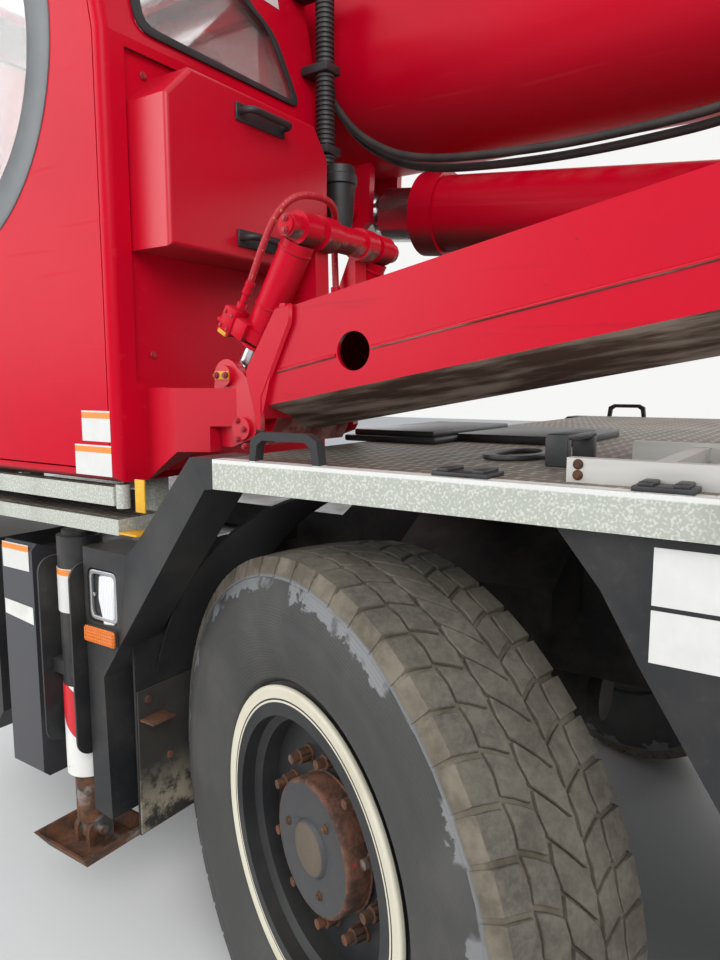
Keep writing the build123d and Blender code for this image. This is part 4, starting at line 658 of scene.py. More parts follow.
BLOCKS = (
    # the block's corners: across the tread, and along it in shares of a pitch
    OUTER_BLOCK,
    tuple(zip(LEFT_BLOCK, BLOCK_PITCH)),
    tuple(zip(MIDDLE_BLOCK, MIDDLE_PITCH)),
    tuple(zip(RIGHT_BLOCK, BLOCK_PITCH)),
    tuple((-across, along) for across, along in OUTER_BLOCK),
)


def crown(across):
    """The tread's own radius at a distance across it."""
    return TYRE_RADIUS - CROWN_DROP * (across / TREAD_HALF) ** 2


def on_tread(across, along, radius):
    """A point on the tyre; along is in pitches round it."""
    angle = along * 2 * math.pi / TREAD_PITCHES
    return Vector((across, radius * math.sin(angle), radius * math.cos(angle)))


def tread_block(corners):
    """One block: its foot in the groove's floor, its worn top a little smaller."""
    bpy.ops.object.select_all(action="DESELECT")
    bpy.ops.mesh.primitive_circle_add(vertices=len(corners), radius=1, fill_type="NGON")
    block = bpy.context.object
    start_edit()
    for rise in (0.5, 0.5):
        bpy.ops.mesh.extrude_region_move(TRANSFORM_OT_translate={"value": (0, 0, rise)})
    end_edit()
    middle_across = sum(corner[0] for corner in corners) / len(corners)
    middle_along = sum(corner[1] for corner in corners) / len(corners)
    level = [0] * 3
    for vertex in block.data.vertices:
        ring = round(vertex.co.z * 2)
        across, along = corners[level[ring] % len(corners)]
        level[ring] += 1
        outermost = abs(across) > SHOULDER
        if ring == 0:
            across *= 1.10 if outermost else 1.0
            foot = 0.600 if outermost else TREAD_FLOOR - 0.003
            vertex.co = on_tread(across, along, foot)
        elif ring == 1:
            across *= 1.02 if outermost else 1.0
            vertex.co = on_tread(across, along, crown(across) - (0.012 if outermost else 0.0025))
        else:
            across += (middle_across - across) * 0.06
            along += (middle_along - along) * 0.05
            vertex.co = on_tread(across, along, crown(across))
    return block


tyre_loop = list(TYRE_PROFILE) + [(-x, r) for x, r in reversed(TYRE_PROFILE)]
carcass = smooth(lathe("tyre_carcass", tyre_loop, 96), 40)
pitch_blocks = join("tread_pitch", [tread_block(corners) for corners in BLOCKS])
face_outwards()
tread = [pitch_blocks]
for step in range(1, TREAD_PITCHES):
    turn = Matrix.Rotation(-step * 2 * math.pi / TREAD_PITCHES, 4, "X")
    tread.append(copy_to(pitch_blocks, f"tread_pitch_{step}", turn))
model_tyre = join("tyre_model", [carcass] + tread)

rubber = Finish("tyre_rubber")
radius = rubber.node("Attribute", {"attribute_name": "from_axle"}, {}, 2)
edge_noise = rubber.noise(11.0, 6.0, rough=0.65)
fine_noise = rubber.noise(60.0, 5.0, rough=0.7)
tread_zone = (radius + edge_noise * 0.012).between(0.607, 0.617)
scuffed_edge = (radius + edge_noise * 0.02).between(0.6055, 0.6085)
torn = (radius + edge_noise * 0.16).between(0.652, 0.657)
torn = torn * rubber.noise(6.0, 4.0).between(0.48, 0.54)
abraded = scuffed_edge.maths("MAXIMUM", scuffed_edge * 0.8, torn) * (1.0 - tread_zone)
blotches = rubber.noise(3.5, 6.0, rough=0.6).between(0.4, 0.75)
wall = rubber.blend(blotches, (0.042, 0.0415, 0.040), (0.070, 0.068, 0.064))
wall = rubber.blend(abraded * 0.85, wall, (0.2, 0.205, 0.21))
block_top = radius.between(0.6395, 0.6425)
dirty = rubber.blend(edge_noise.between(0.35, 0.65), (0.1, 0.082, 0.06), (0.19, 0.165, 0.125))
worn = rubber.blend(fine_noise.between(0.35, 0.65), (0.062, 0.06, 0.056), (0.15, 0.14, 0.12))
tread_colour = rubber.blend(block_top * (0.35 + blotches * 0.5), dirty, worn)
rings = (radius * 950.0).maths("SINE", radius * 950.0) * (1.0 - tread_zone)
tyre_rubber = rubber.shade(
    Base_Color=rubber.blend(tread_zone, wall, tread_colour),
    Roughness=0.72 + tread_zone * 0.2 - abraded * 0.15,
    Normal=rubber.bump(fine_noise * (0.25 + tread_zone * 0.75) + rings * 0.12, 0.0022, 0.7),
)
dress(model_tyre, tyre_rubber)


def keep_radius(piece):
    """Stores each point's distance from the axle, which two finishes read."""
    stored = piece.data.attributes.new("from_axle", "FLOAT", "POINT")
    stored.data.foreach_set("value", [math.hypot(v.co.y, v.co.z) for v in piece.data.vertices])


keep_radius(model_tyre)


def wheel_matrix(axle, side, centre):
    """Takes a model wheel, made about X with its outer face to +X, to its place."""
    turn = -STEERED[axle - 1] + (180 if side == "right" else 0)
    return Matrix.Translation(centre) @ Matrix.Rotation(math.radians(turn), 4, "Z")


for axle, side, centre in WHEELS:
    tyre = copy_to(model_tyre, f"treaded_tyre_{axle}_{side}", wheel_matrix(axle, side, centre))
    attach(tyre, f"wheel_{axle}_{side}")
    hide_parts(f"tyre_{axle}_{side}")
dispose(model_tyre)

# Wheels: a pressed and welded steel rim in black, whose outer flange and lock ring are
# painted cream; the hub's drum is a rusty casting behind a black cap.
# The rim's black gets less dust than the other black parts so that it stays darker: painted shade
# inside the wheel.
rim_black_painted_shade = black_coat("rim_black", 0.08)
paint_nodes(rim_black_painted_shade, "rim_")
CREAM_RING = (
    (0.1300, 0.3195),
    (0.1345, 0.3330),
    (0.1350, 0.3480),
    (0.1385, 0.3555),
    (0.1455, 0.3572),
    (0.1500, 0.3545),
    (0.1508, 0.3500),
    (0.1492, 0.3445),
    (0.1482, 0.3290),
    (0.1478, 0.3272),
    (0.1462, 0.3262),
    (0.1478, 0.3250),
    (0.1482, 0.3232),
    (0.1476, 0.3120),
    (0.1440, 0.3040),
    (0.1350, 0.3030),
    (0.1320, 0.3080),
)
cream = Finish("rim_cream")
chalk = cream.noise(8.0, 6.0, rough=0.7)
stained = cream.noise(2.5, 5.0).between(0.5, 0.75)
cream_colour = cream.blend(chalk, (0.62, 0.57, 0.43), (0.74, 0.7, 0.58))
cream_paint = cream.shade(
    Base_Color=cream.blend(stained * 0.35, cream_colour, (0.36, 0.28, 0.16)),
    Roughness=0.5 + chalk * 0.2,
    Normal=cream.bump(chalk, 0.0012, 0.5),
)
ring_model = smooth(lathe("flange_ring_model", CREAM_RING, 96), 50)
dress(ring_model, cream_paint)

HUB_COVER = (
    (0.0600, 0.1465),
    (0.0600, 0.1500),
    (0.0660, 0.1520),
    (0.0680, 0.1480),
    (0.1140, 0.1480),
    (0.1190, 0.1470),
    (0.1235, 0.1425),
    (0.1240, 0.1380),
    (0.1228, 0.1360),
    (0.1228, 0.0640),
    (0.1290, 0.0600),
    (0.1312, 0.0560),
    (0.1312, 0.0000),
    (0.1220, 0.0000),
    (0.1215, 0.1350),
    (0.1130, 0.1462),
)
drum = Finish("hub_cast_iron")
axle_radius = drum.node("Attribute", {"attribute_name": "from_axle"}, {}, 2)
flakes = drum.noise(24.0, 8.0, rough=0.75)
cap_zone = 1.0 - axle_radius.between(0.137, 0.142)
rust_side = drum.blend(flakes.between(0.35, 0.65), (0.035, 0.02, 0.015), (0.17, 0.07, 0.04))
red_left = drum.noise(13.0, 3.0).between(0.66, 0.69)
rust_side = drum.blend(red_left, rust_side, (0.42, 0.02, 0.03))
cap_black = drum.blend(flakes, (0.03, 0.032, 0.036), (0.06, 0.058, 0.058))
nose_rust = drum.blend(flakes, (0.08, 0.062, 0.045), (0.14, 0.105, 0.07))
cap_black = drum.blend(1.0 - axle_radius.between(0.052, 0.060), cap_black, nose_rust)
hub_iron = drum.shade(
    Base_Color=drum.blend(cap_zone, rust_side, cap_black),
    Roughness=0.8 - cap_zone * 0.25,
    Normal=drum.bump(flakes, 0.0035, 0.7),
)
hub_model = smooth(lathe("hub_cover_model", HUB_COVER, 64), 40)
dress(hub_model, hub_iron)
keep_radius(hub_model)

STUDS = 10
NUT_FACE = 0.058
NUT_HEIGHT = 0.0315
nut_rust = rusty_steel("nut_rust", 0.0)


def hex_nut(place, across, height, stud):
    """A hexagon nut on its washer with the stud's end standing out, along +X."""
    bpy.ops.object.select_all(action="DESELECT")
    bpy.ops.mesh.primitive_cylinder_add(
        vertices=6, radius=across / 2, depth=height, location=place, rotation=(0, math.pi / 2, 0)
    )
    bpy.ops.object.transform_apply(location=True, rotation=True, scale=True)
    start_edit()
    bpy.ops.mesh.bevel(offset=across * 0.05, segments=1)
    for vertices, radius, depth, out in (
        (20, across * 0.62, height * 0.16, -height * 0.44),
        (14, across * 0.3, stud, height / 2 + stud * 0.4),
    ):
        bpy.ops.mesh.primitive_cylinder_add(
            vertices=vertices,
            radius=radius,
            depth=depth,
            location=(place[0] + out, place[1], place[2]),
            rotation=(0, math.pi / 2, 0),
        )
    return end_edit()


NUT_RINGS = (
    # count, first angle, circle, place along the axle, size across, height, stud
    (STUDS, math.pi / STUDS, 0.188, NUT_FACE + NUT_HEIGHT / 2, 0.0365, NUT_HEIGHT, 0.022),
    (3, 0.9, 0.098, 0.1235, 0.020, 0.007, 0.004),
)
nuts = []
for count, first, circle, out, across, height, stud in NUT_RINGS:
    for step in range(count):
        angle = first + step * 2 * math.pi / count
        place = (out, circle * math.cos(angle), circle * math.sin(angle))
        nuts.append(hex_nut(place, across, height, stud))
nuts_model = smooth(join("wheel_nuts_model", nuts), 30)
dress(nuts_model, nut_rust)
for axle, side, centre in WHEELS:
    place = wheel_matrix(axle, side, centre)
    for model, name, slot in (
        (ring_model, "flange_ring", "wheel_cream"),
        (hub_model, "hub_cover", "axle_black"),
        (nuts_model, "wheel_nuts", "axle_black"),
    ):
        piece = copy_to(model, f"{name}_{axle}_{side}", place)
        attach(piece, f"wheel_{axle}_{side}")
for model in (ring_model, hub_model, nuts_model):
    dispose(model)

# Cab fittings: a grey frit ring and black rubber seals round the panes, black latches,
# red bolts on the service panel, and blank white notices with an orange head. The ring
# and the notices are stuck on, the seals are pressed round the glass.
AXLE_SPREAD = 3.8
AXLE_1 = WHEELS[-1][2].y - AXLE_SPREAD
CAB_SIDE_X = 1.2
PANE_CENTRE = (AXLE_1 - 1.38, 2.52)
PANE_RADIUS = 0.52
PANE_TOP = 2.878
STICKER = 0.0012


def at(x, along, z):
    """A place whose length along the crane is counted from the front axle."""
    return Vector((x, AXLE_1 + along, z))


def upright(x, y0, y1, z0, z1):
    """The corners of an upright rectangle that faces sideways."""
    return [at(x, y0, z0), at(x, y1, z0), at(x, y1, z1), at(x, y0, z1)]


def add(piece, body, material=None):
    """Finishes a piece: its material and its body."""
    if material:
        dress(piece, material)
    piece.select_set(False)
    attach(piece, body)
    return piece


def bolts(places, size, body, material):
    """Hexagon bolts that stand out along +X; size is across, height and stud."""
    for place in places:
        add(smooth(hex_nut(tuple(place), *size), 30), body, material)


def bevelled(piece, width, segments=2):
    """Rounds a piece's edges that are sharper than 40 degrees."""
    only(piece)
    edges = piece.modifiers.new("round", "BEVEL")
    edges.width = width
    edges.segments = segments
    edges.limit_method = "ANGLE"
    edges.angle_limit = math.radians(40)
    bpy.ops.object.modifier_apply(modifier="round")
    return smooth(piece, 40)


def block(name, low, high, edge=0.002):
    """A block between two corners with rounded edges."""
    bpy.ops.object.select_all(action="DESELECT")
    low, high = Vector(low), Vector(high)
    bpy.ops.mesh.primitive_cube_add(size=1, location=(low + high) / 2, scale=high - low)
    piece = bpy.context.object
    piece.name = name
    bpy.ops.object.transform_apply(location=True, rotation=True, scale=True)
    return bevelled(piece, edge)


def rod(name, start, end, radius, vertices=20, edge=0.0):
    """A round bar between two points."""
    bpy.ops.object.select_all(action="DESELECT")
    start, end = Vector(start), Vector(end)
    turn = (end - start).to_track_quat("Z", "Y").to_euler()
    bpy.ops.mesh.primitive_cylinder_add(
        vertices=vertices,
        radius=radius,
        depth=(end - start).length,
        location=(start + end) / 2,
        rotation=turn,
    )
    piece = bpy.context.object
    piece.name = name
    bpy.ops.object.transform_apply(location=True, rotation=True, scale=True)
    return bevelled(piece, edge or radius * 0.15)


def sheet_of(name, corners, thickness, edge=0.0):
    """A flat plate: its outline's corners in space, thickened along its normal."""
    bpy.ops.object.select_all(action="DESELECT")
    bpy.ops.mesh.primitive_circle_add(vertices=len(corners), radius=1, fill_type="NGON")
    piece = bpy.context.object
    piece.name = name
    for vertex, corner in zip(piece.data.vertices, corners):
        vertex.co = corner
    piece.data.update()
    normal = piece.data.polygons[0].normal.copy()
    start_edit()
    move = {"value": tuple(normal * thickness)}
    bpy.ops.mesh.extrude_region_move(TRANSFORM_OT_translate=move)
    face_outwards()
    return bevelled(piece, edge or thickness * 0.3, 1)


def plain_coat(name, first, second, rough=0.5, scale=12.0, metal=0.0, depth=0.0005):
    """A simple finish: two close colours in clouds, with a fine grain."""
    coat = Finish(name)
    clouds = coat.noise(scale, 5.0)
    return coat.shade(
        Base_Color=coat.blend(clouds.between(0.3, 0.7), first, second),
        Roughness=rough + clouds * 0.15,
        Metallic=metal,
        Normal=coat.bump(coat.noise(scale * 18, 2.0), depth, 0.4),
    )


frit_grey = plain_coat("frit_grey", (0.07, 0.078, 0.085), (0.1, 0.108, 0.115), 0.3)
seal_rubber = plain_coat("seal_rubber", (0.012, 0.012, 0.013), (0.03, 0.03, 0.031), 0.7)
hard_black = plain_coat("hard_black", (0.014, 0.015, 0.016), (0.032, 0.033, 0.035), 0.42)
bolt_red = plain_coat("bolt_red", (0.4, 0.004, 0.02), (0.25, 0.03, 0.03), 0.45)
marks_yellow = plain_coat("marks_yellow", (0.75, 0.42, 0.01), (0.6, 0.3, 0.02), 0.5)


def notice(name, head, lower):
    """A blank white notice with a coloured band between two heights."""
    paper = Finish(name)
    z = paper.axis("Z")
    stain = paper.noise(30.0, 5.0)
    band = (z > lower) * (z < head)
    white = paper.blend(stain, (0.6, 0.59, 0.56), (0.72, 0.72, 0.7))
    return paper.shade(
        Base_Color=paper.blend(band, white, (0.78, 0.24, 0.03)),
        Roughness=0.4 + stain * 0.15,
    )


PANE_RING = (
    (0.0005, -0.082),
    (0.0030, -0.078),
    (0.0040, -0.010),
    (0.0040, 0.008),
    (0.0025, 0.013),
    (0.0005, 0.014),
)
ring_profile = [(x, PANE_RADIUS + r) for x, r in PANE_RING]
ring = lathe("side_pane_ring", ring_profile, 120)
ring.data.transform(Matrix.Translation((CAB_SIDE_X, *PANE_CENTRE)))
start_edit()
bpy.ops.mesh.bisect(
    plane_co=(0, 0, PANE_TOP), plane_no=(0, 0, 1), clear_outer=True, use_fill=True
)
end_edit()
add(smooth(ring, 40), "cab", frit_grey)

NOTICES = (
    # name, along the cab from the rear, low and high
    ("upper_notice", -0.795, -0.684, 1.511, 1.587),
    ("lower_notice", -0.828, -0.684, 1.425, 1.502),
)
for name, y0, y1, z0, z1 in NOTICES:
    label = sheet_of(name, upright(CAB_SIDE_X + 0.0004, y0, y1, z0, z1), STICKER)
    add(label, "cab", notice(name, z1 - 0.004, z1 - 0.019))

LATCH_FACE = -0.53
LATCH_HALF = 0.022
LATCHES = ((0.905, 0.716, 2.335), (0.905, 0.720, 2.026))
for x0, x1, z in LATCHES:
    ends = ((x0, -LATCH_HALF), (x1, -LATCH_HALF), (x1, LATCH_HALF), (x0, LATCH_HALF))
    corners = [at(x, LATCH_FACE + 0.0005, z + rise) for x, rise in ends]
    add(sheet_of("latch_pad", corners, 0.006), "cab", hard_black)

PANEL_BOLT_FACE = -0.671
PANEL_BOLTS = ((1.073, 2.392), (1.072, 1.726), (0.560, 1.726), (0.560, 2.400))
rearward = Matrix.Rotation(math.pi / 2, 4, "Z")
for x, z in PANEL_BOLTS:
    bolt = hex_nut((0, 0, 0), 0.020, 0.008, 0.003)
    bolt.data.transform(Matrix.Translation(at(x, PANEL_BOLT_FACE, z)) @ rearward)
    add(smooth(bolt, 30), "cab", bolt_red)


def black_beyond(name, along, low):
    """The red enamel, and hard black beyond a distance along the crane and over a height."""
    paint = Finish(name)
    handle = (paint.axis("Y") > AXLE_1 + along) * (paint.axis("Z") > low)
    clouds, red = faded_red(paint)
    # Faces that look down are darkened a little towards dark brown.
    red = paint.blend(darker_below(paint) * 0.4, red, DARK_BELOW)
    return paint.shade(
        Base_Color=paint.blend(handle, red, (0.02, 0.021, 0.023)),
        Roughness=0.3 + clouds * 0.14 + handle * 0.12,
        Normal=orange_peel(paint),
    )


paint_nodes(black_beyond("rear_fittings_red_paint", LATCH_FACE + 0.004, 1.95), "cab_rear_fittings")

# Rear pane seal: a black rubber profile pressed round the pane in the cab's rear wall,
# whose upper part leans forward.
CAB_REAR = -0.66
LEAN_LOW = 2.46
LEAN = 0.08 / 0.44
REAR_SEAL = (
    (1.094, 2.490),
    (0.478, 2.490),
    (0.555, 2.686),
    (0.646, 2.731),
    (0.765, 2.860),
    (1.094, 2.860),
)
SEAL_WIDTH = 0.016


def on_rear_wall(x, z, out=0.0):
    """A place on the cab's rear wall, which leans forward above its kink."""
    return at(x, CAB_REAR - max(0.0, z - LEAN_LOW) * LEAN + out, z)


def rounded(corners, radius, steps=4):
    """A flat outline with its corners cut to arcs, as (x, z) pairs."""
    points = []
    count = len(corners)
    for index, corner in enumerate(corners):
        here = Vector(corner)
        before = (Vector(corners[index - 1]) - here).normalized()
        after = (Vector(corners[(index + 1) % count]) - here).normalized()
        for step in range(steps + 1):
            share = step / steps
            start, end = here + before * radius, here + after * radius
            first, second = start.lerp(here, share), here.lerp(end, share)
            points.append(first.lerp(second, share))
    return points


def ring_of(name, outer, inner, height, edge=0.001):
    """A flat ring between two outlines with as many points, raised along its normal."""
    bpy.ops.object.select_all(action="DESELECT")
    count = len(outer)
    bpy.ops.mesh.primitive_circle_add(vertices=count, radius=1)
    piece = bpy.context.object
    piece.name = name
    start_edit()
    bpy.ops.mesh.extrude_region_move(TRANSFORM_OT_translate={"value": (0, 0, 1)})
    end_edit()
    for vertex, point in zip(piece.data.vertices, list(outer) + list(inner)):
        vertex.co = point
    start_edit()
    move = {"value": tuple(height)}
    bpy.ops.mesh.extrude_region_move(TRANSFORM_OT_translate=move)
    face_outwards()
    return bevelled(piece, edge)


middle = Vector((0.86, 2.68))
outline = rounded(REAR_SEAL, 0.05)
inside = [point + (middle - point).normalized() * SEAL_WIDTH * 1.6 for point in outline]
outside = [point - (middle - point).normalized() * SEAL_WIDTH * 0.4 for point in outline]
seal = ring_of(
    "rear_pane_seal",
    [on_rear_wall(x, z, 0.001) for x, z in outside],
    [on_rear_wall(x, z, 0.001) for x, z in inside],
    (0.0, 0.007, 0.0),
    0.002,
)
add(seal, "cab", seal_rubber)
label_corners = [(0.690, 2.775), (0.505, 2.775), (0.505, 2.835), (0.690, 2.835)]
outline = [on_rear_wall(x, z, 0.001) for x, z in label_corners]
rear_label = sheet_of("rear_notice", outline, STICKER)
add(rear_label, "cab", notice("rear_notice", 2.832, 2.815))

# Filter can and conduit: a black plastic can with a lid, on a bracket at the cab's rear
# inner corner, and the corrugated conduit that comes down the wall to it.
CAN = at(0.405, -0.565, 0.0)
CAN_PROFILE = (
    # height, radius
    (2.125, 0.030),
    (2.130, 0.036),
    (2.150, 0.040),
    (2.230, 0.047),
    (2.262, 0.049),
    (2.266, 0.055),
    (2.292, 0.055),
    (2.296, 0.050),
    (2.318, 0.047),
    (2.322, 0.040),
)


def turned_upright(name, profile, centre, steps=40):
    """A closed form turned about an upright axis from (height, radius) pairs."""
    closed = [*profile, (profile[-1][0], 0.0), (profile[0][0], 0.0)]
    piece = lathe(name, closed, steps)
    stand = Matrix.Rotation(-math.pi / 2, 4, "Y")
    piece.data.transform(Matrix.Translation((centre[0], centre[1], 0)) @ stand)
    return smooth(piece, 35)


can = turned_upright("filter_can", CAN_PROFILE, CAN)
add(can, "cab", hard_black)
bracket_low = (CAN[0] - 0.03, AXLE_1 + CAB_REAR - 0.001, 2.20)
bracket = block("can_bracket", bracket_low, (CAN[0] + 0.03, CAN[1] - 0.04, 2.25), 0.004)
add(bracket, "cab", red_paint)

RIB_PITCH = 0.014
CONDUIT = at(0.405, -0.618, 0.0)
CONDUIT_TOP = 2.86
CONDUIT_LOW = 2.335
conduit_profile = []
ribs = int((CONDUIT_TOP - CONDUIT_LOW) / RIB_PITCH)
for rib in range(ribs):
    z = CONDUIT_LOW + rib * RIB_PITCH
    for rise, radius in ((0.0, 0.0255), (0.003, 0.0295), (0.0095, 0.0295), (0.0125, 0.0255)):
        conduit_profile.append((z + rise, radius))
conduit = turned_upright("conduit", conduit_profile, CONDUIT, 20)
add(conduit, "cab", hard_black)
for z in (2.36, 2.60, 2.84):
    low = (CONDUIT[0] - 0.037, AXLE_1 + CAB_REAR - max(0.0, z - LEAN_LOW) * LEAN - 0.001, z)
    clip = block("conduit_clip", low, (CONDUIT[0] + 0.037, CONDUIT[1] + 0.034, z + 0.028), 0.006)
    add(clip, "cab", hard_black)

# Front corner lamps: a grey reflector bowl, a clear lens with fine ribs, and the orange
# side marker below. The bowl is pressed, and the lens is moulded.
LAMP_FACE = 1.143
reflector = plain_coat("lamp_reflector", (0.35, 0.36, 0.37), (0.5, 0.5, 0.5), 0.25, metal=0.8)
lens_clear = Finish("lens_clear")
ribs_across = lens_clear.maths("SINE", lens_clear.axis("Y") * 900.0)
haze = lens_clear.noise(20.0, 3.0)
clear_lens = lens_clear.shade(
    Base_Color=lens_clear.blend(haze, (0.8, 0.82, 0.84), (0.9, 0.9, 0.9)),
    Roughness=0.12,
    Normal=lens_clear.bump(ribs_across, 0.001, 0.6),
)


def coloured_lens(name, colour):
    """A moulded lens in one colour with a grid of small prisms."""
    lens = Finish(name)
    waves = lens.maths("SINE", lens.axis("Y") * 700.0) + lens.maths("SINE", lens.axis("Z") * 700.0)
    dusty = lens.noise(30.0, 4.0).between(0.5, 0.8) * 0.3
    return lens.shade(
        Base_Color=lens.blend(dusty, colour, ROAD_DUST),
        Roughness=0.22 + dusty * 0.5,
        Normal=lens.bump(waves, 0.001, 0.5),
    )


orange_lens = coloured_lens("lens_orange", (0.72, 0.16, 0.01))
red_lens = coloured_lens("lens_red", (0.42, 0.008, 0.01))


def mirrored(piece, name):
    """A copy of a piece on the crane's other side."""
    twin = copy_to(piece, name, Matrix.Scale(-1, 4, (1, 0, 0)))
    only(twin)
    face_outwards()
    twin.select_set(False)
    return twin


def both(piece, body, material):
    """Adds a piece and its mirror copy on one body."""
    add(piece, body, material)
    add(mirrored(piece, piece.name + "_right"), body)


LENS = ((-0.812, 1.010), (-0.768, 1.016), (-0.764, 1.152), (-0.826, 1.146), (-0.832, 1.082))
inner = [at(LAMP_FACE + 0.001, y, z) for y, z in LENS]
lens = sheet_of("corner_lens", inner, 0.009, 0.004)
both(lens, "chassis", clear_lens)
bowl = ((-0.866, 1.022), (-0.752, 1.022), (-0.752, 1.160), (-0.866, 1.160))
outer = [at(LAMP_FACE + 0.0005, y, z) for y, z in rounded(bowl, 0.018, 3)]
centre = sum(outer, Vector()) / len(outer)
hole = [point.lerp(centre, 0.16) for point in outer]
frame_ring = ring_of("corner_lamp_frame", outer, hole, (0.010, 0.0, 0.0), 0.002)
both(frame_ring, "chassis", reflector)
screw = rod("corner_lamp_screw", at(LAMP_FACE, -0.850, 1.09), at(1.152, -0.850, 1.09), 0.006, 12)
both(screw, "chassis", reflector)
MARKER = ((-0.878, 0.960), (-0.750, 0.960), (-0.750, 1.006), (-0.878, 1.006))
marker_outline = rounded(MARKER, 0.008, 3)
base = sheet_of("marker_base", [at(1.1552, y, z) for y, z in marker_outline], 0.004)
both(base, "chassis", hard_black)
glow = [at(1.159, y * 0.98 - 0.0165, z * 0.96 + 0.0393) for y, z in marker_outline]
marker = sheet_of("side_marker", glow, 0.012, 0.004)
both(marker, "chassis", orange_lens)

# Outrigger jacks: the barrel is black above its flange and white with a red slanting
# band below it, painted; a blank white notice is stuck on the upper part.
JACK_X = 1.10
LABEL_RADIUS = 0.0628
JACK_ALONG = {}
for corner in ("front_left", "front_right", "rear_left", "rear_right"):
    low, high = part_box(f"outrigger_jack_{corner}")
    JACK_ALONG[corner] = (low[1] + high[1]) / 2 - AXLE_1
SLEEVE = (
    # height, radius
    (0.5355, 0.0632),
    (0.5365, 0.0642),
    (0.8045, 0.0642),
    (0.8055, 0.0632),
    (0.8055, 0.0622),
    (0.5355, 0.0622),
)


def striped(name, side):
    """White paint with one red band that slants across the barrel."""
    paint = Finish(name)
    rise = paint.axis("Z") + paint.axis("Y") * 0.9 * side + paint.axis("X") * 0.5
    turns = (rise * (1.0 / 0.36)).maths("FRACT", rise * (1.0 / 0.36))
    band = (turns > 0.30) * (turns < 0.68)
    scuffs = paint.noise(16.0, 6.0, rough=0.7).between(0.6, 0.7)
    colour = paint.blend(band, (0.78, 0.77, 0.73), (0.62, 0.008, 0.02))
    return paint.shade(
        Base_Color=paint.blend(scuffs * 0.7, colour, (0.12, 0.1, 0.08)),
        Roughness=0.4 + scuffs * 0.3,
    )


for corner, along in JACK_ALONG.items():
    side = 1 if corner.endswith("left") else -1
    sleeve = lathe(f"jack_sleeve_{corner}", SLEEVE, 40)
    foot = Matrix.Translation((side * JACK_X, AXLE_1 + along, 0))
    sleeve.data.transform(foot @ Matrix.Rotation(-math.pi / 2, 4, "Y"))
    paint = striped(f"jack_stripes_{corner}", side)
    add(smooth(sleeve, 40), f"outrigger_{corner}", paint)
    curved = []
    for z in (1.02, 1.145):
        for step in range(9):
            angle = math.radians(-42 + 84 * step / 8)
            out, away = LABEL_RADIUS * math.cos(angle), LABEL_RADIUS * math.sin(angle)
            curved.append(at(side * (JACK_X + out), along + away, z))
    bpy.ops.object.select_all(action="DESELECT")
    bpy.ops.mesh.primitive_grid_add(x_subdivisions=8, y_subdivisions=1, size=1)
    label = bpy.context.object
    label.name = f"jack_notice_{corner}"
    for vertex, place in zip(label.data.vertices, curved):
        vertex.co = place
    thick = label.modifiers.new("thick", "SOLIDIFY")
    thick.thickness = 0.0016
    thick.offset = side * 1.0
    bpy.ops.object.modifier_apply(modifier="thick")
    face_outwards()
    head = notice(f"jack_notice_{corner}", 1.143, 1.126)
    add(smooth(label, 30), f"outrigger_{corner}", head)

# Channel cover: a blank notice above and a slanting reflective strip, both stuck on.
COVER_SIDE = 1.1508
cover_side = upright(COVER_SIDE, -1.285, -1.150, 1.108, 1.186)
cover_label = sheet_of("cover_notice", cover_side, STICKER)
both(cover_label, "chassis", notice("cover_notice", 1.183, 1.166))
strip_side = ((-1.288, 0.962), (-1.142, 0.948), (-1.142, 1.000), (-1.288, 1.008))
strip = sheet_of("cover_strip", [at(COVER_SIDE, y, z) for y, z in strip_side], 0.0010)
reflective = plain_coat("reflective_white", (0.62, 0.62, 0.56), (0.75, 0.75, 0.7), 0.35)
both(strip, "chassis", reflective)

# Mud flap: a black rubber sheet behind the guard plate with a worn beige corner and a
# rusty bracket above it. The flap hangs from three bolts.
flap_rubber = Finish("flap_rubber")
flap_dirt = flap_rubber.noise(6.0, 8.0, rough=0.7)
flap_low = 1.0 - flap_rubber.axis("Z").between(0.45, 0.62)
worn_patch = flap_low * flap_dirt.between(0.45, 0.55)
flap_colour = flap_rubber.blend(flap_dirt, (0.012, 0.011, 0.010), (0.05, 0.043, 0.035))
flap_finish = flap_rubber.shade(
    Base_Color=flap_rubber.blend(worn_patch, flap_colour, (0.3, 0.26, 0.19)),
    Roughness=0.85,
    Normal=flap_rubber.bump(flap_dirt, 0.004, 0.7),
)
FLAP = ((1.106, 0.405), (0.930, 0.405), (0.860, 0.470), (0.860, 0.820), (1.104, 0.820))
FLAP_FACE = -0.7515
FLAP_BOLTS = ((0.90, 0.79), (1.07, 0.79), (1.0, 0.60))
flap = sheet_of("mud_flap", [at(x, FLAP_FACE, z) for x, z in FLAP], 0.006, 0.0015)
both(flap, "chassis", flap_finish)
old_iron = rusty_steel("flap_bracket_rust", 0.1)
for name, low, high, edge in (
    ("flap_bracket", at(1.02, -0.752, 0.735), at(1.100, -0.690, 0.741), 0.002),
    ("flap_bracket_tab", at(1.02, -0.752, 0.738), at(1.085, -0.747, 0.810), 0.003),
):
    both(block(name, low, high, edge), "chassis", old_iron)
for x, z in FLAP_BOLTS:
    stud = rod("flap_bolt", at(x, FLAP_FACE + 0.0015, z), at(x, FLAP_FACE + 0.012, z), 0.011, 12)
    both(stud, "chassis", old_iron)

